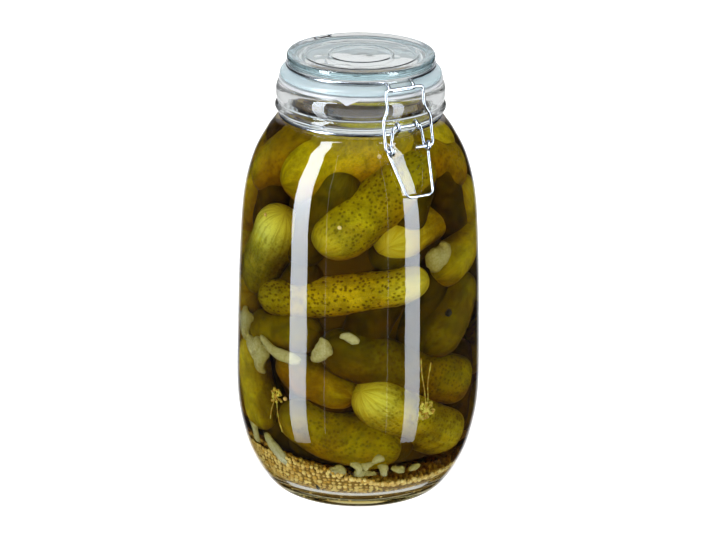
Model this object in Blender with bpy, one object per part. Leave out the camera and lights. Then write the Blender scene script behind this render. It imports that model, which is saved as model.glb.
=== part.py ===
"""A clip-top canning jar of pickled gherkins, closed, at its real size.

The jar stands on the XY plane with its axis on +Z. Its wire clasp faces -Y and the lid's hinge +Y.
All lengths are in metres. A bearing is an angle round the jar: 0 at the clasp, positive towards +X.
"""

import math
import random

import bmesh
import bpy
from mathutils import Matrix, Vector

# ---- driving sizes -------------------------------------------------------------------------------

GAP = 0.0003
ROUND_SEGMENTS = 40

# glass jar: outlines are (radius, height) pairs, bottom to top
WALL = 0.0034
FOOT_RADIUS = 0.0400
FOOT_HOLLOW = 0.0022
BODY_OUTLINE = (
    (0.0460, 0.0000), (0.0538, 0.0040), (0.0628, 0.0180), (0.0688, 0.0340), (0.0730, 0.0600),
    (0.0727, 0.1050), (0.0716, 0.1450), (0.0692, 0.1820), (0.0637, 0.2060), (0.0557, 0.2220),
    (0.0500, 0.2300),
)
NECK_OUTLINE = (
    (0.0500, 0.2300), (0.0470, 0.2316), (0.0456, 0.2327), (0.0456, 0.2341), (0.0469, 0.2355),
    (0.0498, 0.2366), (0.0507, 0.2385), (0.0499, 0.2404), (0.0489, 0.2415), (0.0496, 0.2428),
    (0.0501, 0.2458), (0.0499, 0.2500), (0.0489, 0.2526), (0.0469, 0.2537),
)
MOUTH_OUTLINE = ((0.0452, 0.2532), (0.0441, 0.2518), (0.0438, 0.2470), (0.0437, 0.2370))
FLOOR_OUTLINE = (
    (0.0585, 0.0260), (0.0510, 0.0168), (0.0405, 0.0108), (0.0280, 0.0080), (0.0, 0.0076),
)
INNER_WALL_LOW = 0.0335
INNER_WALL_HIGH = 0.2260

# glass lid
LID_UNDERSIDE = (
    (0.0, 0.2642), (0.0350, 0.2640), (0.0385, 0.2624), (0.0403, 0.2584), (0.0412, 0.2535),
    (0.0419, 0.2528), (0.0427, 0.2531), (0.0431, 0.2544),
)
LID_FLANGE = (
    (0.0431, 0.2564), (0.0466, 0.2564), (0.0476, 0.2571), (0.0476, 0.2588), (0.0468, 0.2599),
    (0.0430, 0.2619),
)
LID_GROOVE = ((0.0421, 0.2623), (0.0419, 0.2638), (0.0421, 0.2654), (0.0431, 0.2663))
LID_TOP = (
    (0.0437, 0.2672), (0.0437, 0.2688), (0.0431, 0.2699), (0.0417, 0.2702), (0.0402, 0.2700),
    (0.0382, 0.2692), (0.0345, 0.2690),
)
LID_RIDGES = (0.0333, 0.0187)
RIDGE_HEIGHT = 0.0005
RIDGE_HALF_WIDTH = 0.0009
LID_FACE = 0.2690

# sealing ring with its pull tab
SEAL_INNER = 0.0435
SEAL_OUTER = 0.0484
SEAL_BOTTOM = 0.2541
SEAL_TOP = 0.2560
SEAL_CORNER = 0.0007
TAB_BEARING = -38.0
TAB_HALF_WIDTH = 0.0066
TAB_REACH = 0.0056
TAB_DROOP = 0.0010
TAB_THICKNESS = 0.0016

# wires
WIRE_RADIUS = 0.00095
WIRE_SIDES = 8
EYE_RADIUS = 0.0023
BEND_RADIUS = 0.0024
BEND_STEPS = 4
RING_STEP = 10.0
NECK_RING_RADIUS = 0.0474
NECK_RING_HEIGHT = 0.2334
LID_RING_RADIUS = 0.04335
LID_RING_HEIGHT = 0.2634

# pivots and other places in the clasp and the hinge, as (y, z): each axis runs along X
LEVER_PIVOT = (-0.0542, 0.2395)
LINK_PIVOT = (-0.0579, 0.2270)
LID_HINGE = (0.0544, 0.2375)
NECK_STEM = (-0.0518, 0.2338)
HINGE_TURN = (0.0512, 0.2340)
FLANGE_CREST = (-0.0462, 0.2625)
HINGE_CREST = (0.0490, 0.2626)
HINGE_DROP = (0.0566, 0.2540)

# wire eyes, as the angle where each starts and how far it turns, in degrees
NECK_EYE_TURN = (-45.0, 260.0)
LID_EYE_TURN = (180.0, 265.0)
LEVER_COIL_TURN = (196.5, 371.0)

NECK_EYE_X = 0.0060
HINGE_BAR_HALF = 0.0086
LID_EYE_X = 0.0050
TONGUE_HALF = 0.0080
TONGUE_END = (-0.0490, 0.2600)
LEVER_TOP_HALF = 0.0090
LEVER_COIL_INNER = 0.0112
LEVER_COIL_OUTER = 0.0133
LEVER_END_HALF = 0.0086
LEVER_END = (-0.0710, 0.2020)
LEVER_TOP_BEND = 0.0018
LEVER_END_BEND = 0.0034
LINK_BAR = (-0.05075, 0.26145)
LINK_TOP_HALF = 0.0122
LINK_FOOT_HALF = 0.0156
LINK_KNEE_HEIGHTS = (0.2445, 0.2500)
LINK_PIN_ENDS = (-0.0095, 0.0040)

# gherkins: each line is (bearing, depth behind the glass, height) of its two ends, girth and bow.
# The first group shows from the front left of the clasp, and the second fills the far side.
GHERKINS = (
    ((-48, 0.0160, 0.170), (19, 0.018, 0.208), 0.0315, 0.003),
    ((-71, 0.0190, 0.202), (19, 0.024, 0.221), 0.0340, 0.004),
    ((-84, 0.0150, 0.176), (-116, 0.020, 0.132), 0.0290, 0.003),
    ((-9, 0.0180, 0.169), (77, 0.028, 0.175), 0.0275, 0.001),
    ((-89, 0.0140, 0.127), (6, 0.013, 0.145), 0.0235, 0.009),
    ((27, 0.0180, 0.145), (72, 0.014, 0.160), 0.0260, 0.003),
    ((20, 0.0200, 0.103), (50, 0.017, 0.130), 0.0320, 0.002),
    ((-44, 0.0200, 0.105), (47, 0.017, 0.071), 0.0310, 0.008),
    ((-23, 0.0160, 0.0765), (44, 0.0195, 0.0390), 0.0300, 0.003),
    ((-71, 0.0170, 0.058), (-9, 0.0210, 0.0410), 0.0310, 0.005),
    ((-108, 0.0130, 0.090), (-95, 0.015, 0.050), 0.0260, 0.002),
    ((13, 0.0240, 0.213), (59, 0.016, 0.197), 0.0280, 0.002),
    ((59, 0.0180, 0.186), (72, 0.022, 0.160), 0.0250, 0.002),
    ((-114, 0.0150, 0.194), (-81, 0.026, 0.217), 0.0290, 0.003),
    ((-84, 0.0280, 0.086), (-38, 0.022, 0.076), 0.0270, 0.002),
    ((-104, 0.0200, 0.103), (-62, 0.021, 0.112), 0.0260, 0.002),
    ((-58, 0.0280, 0.170), (-92, 0.026, 0.158), 0.0240, 0.002),
    ((30, 0.0210, 0.2190), (70, 0.021, 0.209), 0.0230, 0.002),

    ((86, 0.0150, 0.116), (150, 0.015, 0.140), 0.0285, 0.007),
    ((-172, 0.0150, 0.120), (-124, 0.016, 0.152), 0.0290, 0.004),
    ((80, 0.0160, 0.074), (140, 0.016, 0.100), 0.0290, 0.006),
    ((168, 0.0150, 0.072), (222, 0.016, 0.098), 0.0300, 0.005),
    ((84, 0.0195, 0.045), (148, 0.0200, 0.050), 0.0290, 0.006),
    ((172, 0.0195, 0.047), (230, 0.0200, 0.052), 0.0290, 0.006),
    ((92, 0.0150, 0.158), (150, 0.015, 0.184), 0.0280, 0.006),
    ((176, 0.0150, 0.168), (218, 0.016, 0.200), 0.0290, 0.004),
    ((98, 0.0200, 0.206), (158, 0.022, 0.212), 0.0270, 0.005),
    ((-136, 0.0160, 0.112), (-116, 0.018, 0.122), 0.0260, 0.002),
    ((-150, 0.0160, 0.136), (-118, 0.019, 0.190), 0.0280, 0.004),
)
GHERKIN_SIDES = 10
GHERKIN_RINGS = 8
END_REACH = 0.26
BLUNTNESS = 1.05
END_SHARE = 0.03
CORE_SEGMENTS = 20
HEAP_CORE = ((0.0, 0.0310), (0.0340, 0.0320), (0.0450, 0.0480), (0.0470, 0.1200),
             (0.0430, 0.1900), (0.0300, 0.2140), (0.0, 0.2160))
HEAP_HIGH = 0.2285
PRESS_GAP = 0.0009

# pieces of onion: bearing, depth, height, length, half width, half thickness, tilt from level in
# degrees, and how far the middle curls up
ONIONS = (
    (-107, 0.0050, 0.1050, 0.0210, 0.0085, 0.0026, 74, 0.002),
    (-96, 0.0055, 0.0965, 0.0170, 0.0066, 0.0024, 20, -0.002),
    (-89, 0.0060, 0.0900, 0.0190, 0.0056, 0.0022, 80, 0.001),
    (-74, 0.0060, 0.1010, 0.0330, 0.0036, 0.0018, -12, -0.003),
    (-51, 0.0060, 0.1060, 0.0170, 0.0046, 0.0018, 64, -0.003),
    (-34, 0.0050, 0.1145, 0.0120, 0.0026, 0.0014, -20, 0.001),
    (20, 0.0080, 0.1570, 0.0190, 0.0068, 0.0030, 38, 0.001),
    (-97, 0.0045, 0.0420, 0.0160, 0.0038, 0.0014, -68, 0.001),
    (-79, 0.0035, 0.0360, 0.0230, 0.0036, 0.0015, -42, 0.001),
    (-48, 0.0040, 0.0310, 0.0150, 0.0036, 0.0015, 8, 0.001),
    (-25, 0.0040, 0.0280, 0.0150, 0.0075, 0.0020, 10, 0.003),
    (-19, 0.0055, 0.0330, 0.0180, 0.0034, 0.0012, -8, 0.002),
    (-5, 0.0065, 0.0340, 0.0210, 0.0062, 0.0014, -14, 0.003),
    (6, 0.0055, 0.0310, 0.0190, 0.0052, 0.0014, 8, 0.002),
    (98, 0.0040, 0.0300, 0.0180, 0.0050, 0.0015, 15, 0.002),
    (150, 0.0040, 0.0290, 0.0200, 0.0045, 0.0015, -15, 0.003),
    (128, 0.0060, 0.1520, 0.0190, 0.0056, 0.0018, -30, 0.002),
    (-156, 0.0060, 0.1080, 0.0190, 0.0050, 0.0018, 50, 0.002),
)
ONION_RINGS = 7
ONION_SIDES = 8
ONION_CUP = 0.30
ONION_END = 0.35

# mustard seeds: their bed is low at the front right and heaped up against the left wall
BED_LOW = 0.0185
BED_RISE = 0.0150
BED_HIGH_BEARING = -98.0
BED_REACH = 0.0550
BED_CURVE = 1.2
BED_SEGMENTS = 32
BED_LEVELS = 4
BED_FLOOR = 0.0088
BED_CLEARANCE = 0.0015
BED_TOP_SHARES = (0.78, 0.52, 0.26, 0.0)
SEED_RADIUS = 0.00125
SIDE_SEEDS = 44
TOP_SEEDS = 18
SEED_RANDOM = 11
GOLDEN_TURN = 137.508
PEPPERCORN_RADIUS = 0.0023
PEPPERCORNS = ((21, 0.0032, 0.1235), (142, 0.0035, 0.1180))

SMALL = 1e-9
MERGE_DISTANCE = 0.000002


# ---- outlines ------------------------------------------------------------------------------------

def smooth_curve(points, steps):
    """Points along a Catmull-Rom curve that passes through the given points."""
    knots = [Vector(p) for p in points]
    knots = [2 * knots[0] - knots[1]] + knots + [2 * knots[-1] - knots[-2]]
    curve = []
    for i in range(1, len(knots) - 2):
        before, start, end, after = knots[i - 1:i + 3]
        for step in range(steps):
            t = step / steps
            curve.append(0.5 * (2 * start + (end - before) * t
                                + (2 * before - 5 * start + 4 * end - after) * t * t
                                + (3 * start - before - 3 * end + after) * t * t * t))
    curve.append(knots[-2])
    return curve


def inner_wall():
    """The inner face of the jar's wall, from the shoulder down to the heel."""
    outer = smooth_curve(BODY_OUTLINE, 4)
    wall = []
    for i in range(1, len(outer) - 1):
        along = (outer[i + 1] - outer[i - 1]).normalized()
        point = outer[i] + WALL * Vector((-along.y, along.x))
        if INNER_WALL_LOW < point.y < INNER_WALL_HIGH:
            wall.append(point)
    return wall[::-1]


def jar_outline():
    foot = [Vector((0.0, FOOT_HOLLOW)), Vector((0.9 * FOOT_RADIUS, FOOT_HOLLOW)),
            Vector((FOOT_RADIUS, 0.0))]
    outside = smooth_curve(BODY_OUTLINE, 2)[:-1] + [Vector(p) for p in NECK_OUTLINE]
    wall = inner_wall()
    inside = [Vector(p) for p in MOUTH_OUTLINE] + wall[:-1:3] + wall[-1:]
    return foot + outside + inside + [Vector(p) for p in FLOOR_OUTLINE]


def lid_outline():
    outline = [Vector(p) for p in LID_UNDERSIDE + LID_FLANGE + LID_GROOVE + LID_TOP]
    for ridge in LID_RIDGES:
        for step, rise in ((1, 0.0), (0, 1.0), (-1, 0.0)):
            height = LID_FACE + rise * RIDGE_HEIGHT
            outline.append(Vector((ridge + step * RIDGE_HALF_WIDTH, height)))
    outline.append(Vector((0.0, LID_FACE)))
    return outline


INNER_WALL = inner_wall()
INNER_FACE = [Vector((MOUTH_OUTLINE[-1]))] + INNER_WALL + [Vector(p) for p in FLOOR_OUTLINE]


def inside_radius(height):
    """Radius of the jar's inner face at a height."""
    for upper, lower in zip(INNER_FACE, INNER_FACE[1:]):
        if lower.y <= height <= upper.y:
            share = (height - lower.y) / (upper.y - lower.y)
            return lower.x + share * (upper.x - lower.x)
    return INNER_FACE[0].x if height > INNER_FACE[0].y else 0.0


def at_bearing(bearing, radius, height):
    angle = math.radians(bearing)
    return Vector((radius * math.sin(angle), -radius * math.cos(angle), height))


# ---- mesh helpers --------------------------------------------------------------------------------

def make_material(name, colour, roughness, metallic=0.0, alpha=1.0):
    material = bpy.data.materials.new(name)
    material.use_nodes = True
    shader = material.node_tree.nodes["Principled BSDF"]
    shader.inputs["Base Color"].default_value = (*colour, 1.0)
    shader.inputs["Roughness"].default_value = roughness
    shader.inputs["Metallic"].default_value = metallic
    shader.inputs["Alpha"].default_value = alpha
    return material


def make_object(name, bm, material):
    """A scene object from a bmesh, with smooth shading and sharp edges kept."""
    bmesh.ops.recalc_face_normals(bm, faces=bm.faces)
    mesh = bpy.data.meshes.new(name)
    bm.to_mesh(mesh)
    bm.free()
    if material:
        mesh.materials.append(material)
    mesh.shade_smooth()
    mesh.set_sharp_from_angle(angle=math.radians(40))
    item = bpy.data.objects.new(name, mesh)
    bpy.context.scene.collection.objects.link(item)
    return item


def bridge_rings(bm, rings, closed=False):
    """Faces between rings of vertices; a ring of one vertex is a point."""
    pairs = list(zip(rings, rings[1:]))
    if closed:
        pairs.append((rings[-1], rings[0]))
    for first, second in pairs:
        count = max(len(first), len(second))
        for i in range(count):
            j = (i + 1) % count
            corners = [first[i % len(first)], first[j % len(first)],
                       second[j % len(second)], second[i % len(second)]]
            unique = [c for k, c in enumerate(corners) if c not in corners[:k]]
            bm.faces.new(unique)


def turned(outline, segments=ROUND_SEGMENTS, closed=False):
    """A bmesh turned about Z from an outline of (radius, height) points."""
    bm = bmesh.new()
    rings = []
    for point in outline:
        if point[0] < SMALL:
            rings.append([bm.verts.new((0.0, 0.0, point[1]))])
            continue
        ring = []
        for i in range(segments):
            ring.append(bm.verts.new(at_bearing(360.0 * i / segments, point[0], point[1])))
        rings.append(ring)
    bridge_rings(bm, rings, closed)
    return bm


def swept(path, half_width, half_depth, sides, closed=False, taper=None):
    """A bmesh swept along a path with an elliptical section that doesn't twist."""
    bm = bmesh.new()
    count = len(path)
    tangents = []
    for i in range(count):
        before = path[i - 1] if closed or i else path[0]
        after = path[(i + 1) % count] if closed or i < count - 1 else path[-1]
        tangents.append((after - before).normalized())
    across = tangents[0].orthogonal().normalized()
    turns = [across]
    for i in range(1, count):
        across = tangents[i - 1].rotation_difference(tangents[i]) @ across
        across = (across - across.dot(tangents[i]) * tangents[i]).normalized()
        turns.append(across)
    slip = 0.0
    if closed:
        home = tangents[-1].rotation_difference(tangents[0]) @ across
        up = tangents[0].cross(turns[0])
        slip = math.atan2(home.dot(up), home.dot(turns[0]))
    rings = []
    for i in range(count):
        side = tangents[i].cross(turns[i])
        scale = taper(i / (count - 1)) if taper else 1.0
        ring = []
        for k in range(sides):
            angle = 2 * math.pi * k / sides - slip * i / count
            offset = (math.cos(angle) * half_width * turns[i] + math.sin(angle) * half_depth * side)
            ring.append(bm.verts.new(path[i] + scale * offset))
        rings.append(ring)
    bridge_rings(bm, rings, closed)
    if not closed:
        bm.faces.new(rings[0])
        bm.faces.new(rings[-1])
    return bm


def fused(name, body, pieces, material):
    """One closed solid: the body with all the pieces joined on by a Boolean union."""
    group = bpy.data.collections.new(name + "_pieces")
    for piece in pieces:
        bpy.context.scene.collection.objects.unlink(piece)
        group.objects.link(piece)
    bpy.context.scene.collection.children.link(group)
    union = body.modifiers.new("union", "BOOLEAN")
    union.operation = "UNION"
    union.operand_type = "COLLECTION"
    union.collection = group
    union.solver = "EXACT"
    evaluated = body.evaluated_get(bpy.context.evaluated_depsgraph_get())
    bm = bmesh.new()
    bm.from_mesh(evaluated.to_mesh())
    keep_outer_shell(bm)
    for piece in pieces:
        bpy.data.objects.remove(piece)
    bpy.data.collections.remove(group)
    bpy.data.objects.remove(body)
    return make_object(name, bm, material)


def keep_outer_shell(bm):
    """Drops scraps and the walls of sealed hollows, which fills the hollows."""
    bmesh.ops.remove_doubles(bm, verts=bm.verts, dist=MERGE_DISTANCE)
    bmesh.ops.dissolve_degenerate(bm, edges=bm.edges, dist=MERGE_DISTANCE)
    unseen = set(bm.faces)
    shells = []
    while unseen:
        shell = set()
        front = [unseen.pop()]
        while front:
            face = front.pop()
            shell.add(face)
            for edge in face.edges:
                for other in edge.link_faces:
                    if other in unseen:
                        unseen.remove(other)
                        front.append(other)
        shells.append(shell)
    largest = max(shells, key=len)
    scraps = [face for face in bm.faces if face not in largest]
    bmesh.ops.delete(bm, geom=scraps, context="FACES")


# ---- glass and seal ------------------------------------------------------------------------------

def add_jar(material):
    return make_object("jar_glass", turned(jar_outline()), material)


def add_lid(material):
    return make_object("lid_glass", turned(lid_outline()), material)


def add_seal(material):
    outline = ((SEAL_INNER, SEAL_BOTTOM + SEAL_CORNER), (SEAL_INNER + SEAL_CORNER, SEAL_BOTTOM),
               (SEAL_OUTER - SEAL_CORNER, SEAL_BOTTOM), (SEAL_OUTER, SEAL_BOTTOM + SEAL_CORNER),
               (SEAL_OUTER, SEAL_TOP - SEAL_CORNER), (SEAL_OUTER - SEAL_CORNER, SEAL_TOP),
               (SEAL_INNER + SEAL_CORNER, SEAL_TOP), (SEAL_INNER, SEAL_TOP - SEAL_CORNER))
    ring = make_object("seal_ring", turned(outline, closed=True), material)
    return fused("seal", ring, [pull_tab()], material)


def pull_tab():
    """A flat pointed tongue that leaves the sealing ring and droops over the rim."""
    middle = (SEAL_BOTTOM + SEAL_TOP) / 2
    rows = ((-0.0020, 1.0, 0.0), (0.0010, 1.0, 0.0), (0.35 * TAB_REACH, 0.75, 0.3),
            (0.70 * TAB_REACH, 0.42, 0.7), (TAB_REACH, 0.12, 1.0))
    bm = bmesh.new()
    turn = Matrix.Rotation(math.radians(TAB_BEARING), 4, "Z")
    rings = []
    for reach, width, droop in rows:
        ring = []
        for side, level in ((-1, -0.5), (1, -0.5), (1, 0.5), (-1, 0.5)):
            place = Vector((side * width * TAB_HALF_WIDTH, -(SEAL_OUTER + reach),
                            middle - droop * TAB_DROOP + level * TAB_THICKNESS))
            ring.append(bm.verts.new(turn @ place))
        rings.append(ring)
    bridge_rings(bm, rings)
    bm.faces.new(rings[0])
    bm.faces.new(rings[-1])
    return make_object("tab", bm, None)


# ---- wires ---------------------------------------------------------------------------------------

def at_pivot(x, pivot):
    return Vector((x, pivot[0], pivot[1]))


def ring_points(radius, height, start, end):
    """Points on a level ring between two bearings."""
    count = max(2, round(abs(end - start) / RING_STEP))
    return [at_bearing(start + (end - start) * i / count, radius, height) for i in range(count + 1)]


def bearing_at(x, radius):
    return math.degrees(math.asin(x / radius))


def bent(corners, radius=BEND_RADIUS):
    """A polyline whose inner corners are rounded, as a bent wire's are."""
    path = [corners[0]]
    for before, corner, after in zip(corners, corners[1:], corners[2:]):
        into = (before - corner)
        out = (after - corner)
        trim = min(radius, 0.45 * into.length, 0.45 * out.length)
        start = corner + trim * into.normalized()
        end = corner + trim * out.normalized()
        for step in range(BEND_STEPS + 1):
            t = step / BEND_STEPS
            path.append((1 - t) ** 2 * start + 2 * t * (1 - t) * corner + t * t * end)
    path.append(corners[-1])
    return path


def eye(x, pivot, start, sweep, drift=0.0):
    """Points of a wire eye round a pivot: angles from outward (-Y), positive over the top."""
    count = max(6, round(abs(sweep) / 30))
    points = []
    for i in range(count + 1):
        angle = math.radians(start + sweep * i / count)
        points.append(Vector((x + drift * i / count, pivot[0] - EYE_RADIUS * math.cos(angle),
                              pivot[1] + EYE_RADIUS * math.sin(angle))))
    return points


def mirrored(points):
    return [Vector((-p.x, p.y, p.z)) for p in reversed(points)]


def wire(name, path, material, closed=False):
    return make_object(name, swept(path, WIRE_RADIUS, WIRE_RADIUS, WIRE_SIDES, closed), material)


def add_neck_wire(material):
    """The wire round the neck: an eye at each end for the lever, a hinge bar at the back."""
    front = bearing_at(NECK_EYE_X, NECK_RING_RADIUS)
    back = 180.0 - bearing_at(HINGE_BAR_HALF, NECK_RING_RADIUS)
    loop = eye(NECK_EYE_X, LEVER_PIVOT, *NECK_EYE_TURN)[::-1]
    ring = ring_points(NECK_RING_RADIUS, NECK_RING_HEIGHT, front, back)
    stem = [loop[-1], at_pivot(NECK_EYE_X, NECK_STEM), ring[0]]
    tail = bent([ring[-1], at_pivot(HINGE_BAR_HALF, HINGE_TURN), at_pivot(HINGE_BAR_HALF, LID_HINGE),
                 at_pivot(0.0, LID_HINGE)])
    half = loop[:-1] + bent(stem)[:-1] + ring[:-1] + tail
    wire("neck_wire", half + mirrored(half)[1:], material)


def add_lid_wire(material):
    """The wire round the lid: a tongue at the front, and two eyes on the hinge bar."""
    front = bearing_at(TONGUE_HALF, LID_RING_RADIUS)
    back = 180.0 - bearing_at(LID_EYE_X, LID_RING_RADIUS)
    ring = ring_points(LID_RING_RADIUS, LID_RING_HEIGHT, front, back)
    tongue = bent([at_pivot(0.0, TONGUE_END), at_pivot(TONGUE_HALF, TONGUE_END),
                   at_pivot(TONGUE_HALF, FLANGE_CREST), ring[0]])
    loop = eye(LID_EYE_X, LID_HINGE, *LID_EYE_TURN)
    tail = [ring[-1], at_pivot(LID_EYE_X, HINGE_CREST), at_pivot(LID_EYE_X, HINGE_DROP), loop[0]]
    half = tongue[:-1] + ring[:-1] + bent(tail)[:-1] + loop
    return wire("lid_wire", mirrored(half)[:-1] + half, material)


def add_lever(material):
    """The closed clasp lever: a pivot bar, a coil on each arm for the link, and a finger bar."""
    coil = eye(LEVER_COIL_INNER, LINK_PIVOT, *LEVER_COIL_TURN, LEVER_COIL_OUTER - LEVER_COIL_INNER)
    top = bent([at_pivot(0.0, LEVER_PIVOT), at_pivot(LEVER_TOP_HALF, LEVER_PIVOT), coil[0]],
               LEVER_TOP_BEND)
    bottom = bent([coil[-1], at_pivot(LEVER_END_HALF, LEVER_END), at_pivot(0.0, LEVER_END)],
                  LEVER_END_BEND)
    half = top[:-1] + coil[:-1] + bottom
    path = half[1:] + mirrored(half)[1:]
    return wire("clasp_lever", path, material, closed=True)


def add_link(material):
    """The link: pins through the lever's coils, legs, and a bar that hooks the lid's tongue."""
    foot = at_pivot(0.0, LINK_PIVOT)
    bar = at_pivot(0.0, LINK_BAR)
    corners = []
    for side, pin_end in zip((-1, 1), LINK_PIN_ENDS):
        leg = [foot + Vector((pin_end, 0.0, 0.0)), foot + Vector((side * LINK_FOOT_HALF, 0.0, 0.0))]
        for half, height in zip((LINK_FOOT_HALF, LINK_TOP_HALF), LINK_KNEE_HEIGHTS):
            share = (height - foot.z) / (bar.z - foot.z)
            leg.append(foot.lerp(bar, share) + Vector((side * half, 0.0, 0.0)))
        leg.append(bar + Vector((side * LINK_TOP_HALF, 0.0, 0.0)))
        corners.extend(leg if side < 0 else leg[::-1])
    return wire("clasp_link", bent(corners), material)


# ---- contents ------------------------------------------------------------------------------------

def bed_top(bearing, radius):
    """Height of the seed bed at a place."""
    toward_heap = radius / BED_REACH * math.cos(math.radians(bearing - BED_HIGH_BEARING))
    return BED_LOW + BED_RISE * max(0.0, toward_heap) ** BED_CURVE


def pressed(point):
    """The point moved inside the jar's inner face and above the seeds, as soft food settles."""
    radius = math.hypot(point.x, point.y)
    bearing = math.degrees(math.atan2(point.x, -point.y))
    low = bed_top(bearing, radius) + SEED_RADIUS + 2 * GAP
    height = min(max(point.z, low), HEAP_HIGH)
    limit = inside_radius(height) - PRESS_GAP
    share = min(1.0, limit / max(radius, SMALL))
    return Vector((point.x * share, point.y * share, height))


def inside_place(bearing, depth, height):
    return at_bearing(bearing, inside_radius(height) - depth, height)


def gherkin(first, last, girth, bow):
    """One gherkin from two end places: a fat sausage with round ends that bows outwards."""
    start = inside_place(*first)
    end = inside_place(*last)
    along = (end - start).normalized()
    start = start - END_REACH * girth * along
    end = end + END_REACH * girth * along
    middle = (start + end) / 2
    outward = Vector((middle.x, middle.y, 0.0))
    outward = (outward - outward.dot(along) * along).normalized()
    roundness = BLUNTNESS * 2 * (end - start).length / girth

    def spaced(share):
        """Rings lie closer together near both ends."""
        return 0.5 - 0.5 * math.cos(math.pi * (END_SHARE + (1 - 2 * END_SHARE) * share))

    def taper(share):
        return (1 - abs(2 * spaced(share) - 1) ** roundness) ** 0.5

    path = []
    for i in range(GHERKIN_RINGS + 1):
        t = spaced(i / GHERKIN_RINGS)
        path.append(start.lerp(end, t) + 4 * t * (1 - t) * bow * outward)
    bm = swept(path, girth / 2, girth / 2, GHERKIN_SIDES, taper=taper)
    for vert in bm.verts:
        vert.co = pressed(vert.co)
    return make_object("gherkin", bm, None)


def onion_piece(bearing, depth, height, length, half_width, half_thickness, tilt, curl):
    """A curled piece of an onion's layer, lying near the glass."""
    centre = inside_place(bearing, depth, height)
    outward = Vector((centre.x, centre.y, 0.0)).normalized()
    level = Vector((0.0, 0.0, 1.0)).cross(outward)
    lean = math.radians(tilt)
    along = math.cos(lean) * level + math.sin(lean) * Vector((0.0, 0.0, 1.0))
    rise = outward.cross(along)
    path = []
    for i in range(ONION_RINGS):
        t = 2 * i / (ONION_RINGS - 1) - 1
        path.append(centre + 0.5 * t * length * along + (1 - t * t) * curl * rise
                    - ONION_CUP * t * t * half_width * outward)

    def taper(share):
        return ONION_END + (1 - ONION_END) * math.sin(math.pi * share) ** 0.5

    across = (path[1] - path[0]).orthogonal().normalized()
    flat_first = abs(across.dot(rise)) > abs(across.dot(outward))
    widths = (half_width, half_thickness) if flat_first else (half_thickness, half_width)
    bm = swept(path, *widths, ONION_SIDES, taper=taper)
    for vert in bm.verts:
        vert.co = pressed(vert.co)
    return make_object("onion", bm, None)


def ball(place, radius, detail):
    bm = bmesh.new()
    bmesh.ops.create_icosphere(bm, subdivisions=detail, radius=radius,
                               matrix=Matrix.Translation(place))
    return make_object("ball", bm, None)


def add_gherkins(material):
    """The heap that fills the jar: a core with gherkins, onion and peppercorns fused on."""
    core = make_object("core", turned(smooth_curve(HEAP_CORE, 2), CORE_SEGMENTS), None)
    pieces = [gherkin(*line) for line in GHERKINS]
    pieces += [onion_piece(*line) for line in ONIONS]
    pieces += [ball(inside_place(*place), PEPPERCORN_RADIUS, 2) for place in PEPPERCORNS]
    return fused("gherkins", core, pieces, material)


def seed_bed():
    """The packed seeds as one closed solid on the jar's floor."""
    bm = bmesh.new()
    bearings = [360.0 * i / BED_SEGMENTS for i in range(BED_SEGMENTS)]
    rings = [[bm.verts.new((0.0, 0.0, BED_FLOOR))]]
    for level in range(BED_LEVELS + 1):
        ring = []
        for bearing in bearings:
            height = BED_FLOOR + (bed_top(bearing, BED_REACH) - BED_FLOOR) * level / BED_LEVELS
            radius = inside_radius(height) - BED_CLEARANCE
            ring.append(bm.verts.new(at_bearing(bearing, radius, height)))
        rings.append(ring)
    for share in BED_TOP_SHARES:
        radius = share * BED_REACH
        count = BED_SEGMENTS if share else 1
        rings.append([bm.verts.new(at_bearing(bearing, radius, bed_top(bearing, radius)))
                      for bearing in bearings[:count]])
    bridge_rings(bm, rings)
    return make_object("bed", bm, None)


def add_seed_bed(material):
    """Mustard seeds on the jar's floor: the bed with the seeds that show fused on."""
    draw = random.Random(SEED_RANDOM)
    pieces = []
    for i in range(SIDE_SEEDS):
        bearing = 360.0 * (i + 0.3 * draw.random()) / SIDE_SEEDS
        top = bed_top(bearing, BED_REACH)
        height = top - draw.uniform(1.5, 4.5) * SEED_RADIUS
        radius = inside_radius(height - SEED_RADIUS) - PRESS_GAP - SEED_RADIUS
        pieces.append(ball(at_bearing(bearing, radius, height), SEED_RADIUS, 1))
    for i in range(TOP_SEEDS):
        radius = 0.9 * BED_REACH * math.sqrt((i + 0.5) / TOP_SEEDS)
        bearing = GOLDEN_TURN * i
        pieces.append(ball(at_bearing(bearing, radius, bed_top(bearing, radius)), SEED_RADIUS, 1))
    return fused("mustard_seeds", seed_bed(), pieces, material)


# ---- assembly ------------------------------------------------------------------------------------

def add_pivot(name, pivot, parent=None):
    """An empty on a joint's axis."""
    empty = bpy.data.objects.new(name, None)
    empty.empty_display_size = 0.01
    bpy.context.scene.collection.objects.link(empty)
    empty.location = at_pivot(0.0, pivot)
    if parent:
        empty.parent = parent
        empty.location -= parent.location
    return empty


def hang(item, pivot_empty, pivot):
    """Parents a piece to a pivot without moving it."""
    item.data.transform(Matrix.Translation(-at_pivot(0.0, pivot)))
    item.parent = pivot_empty


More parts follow.
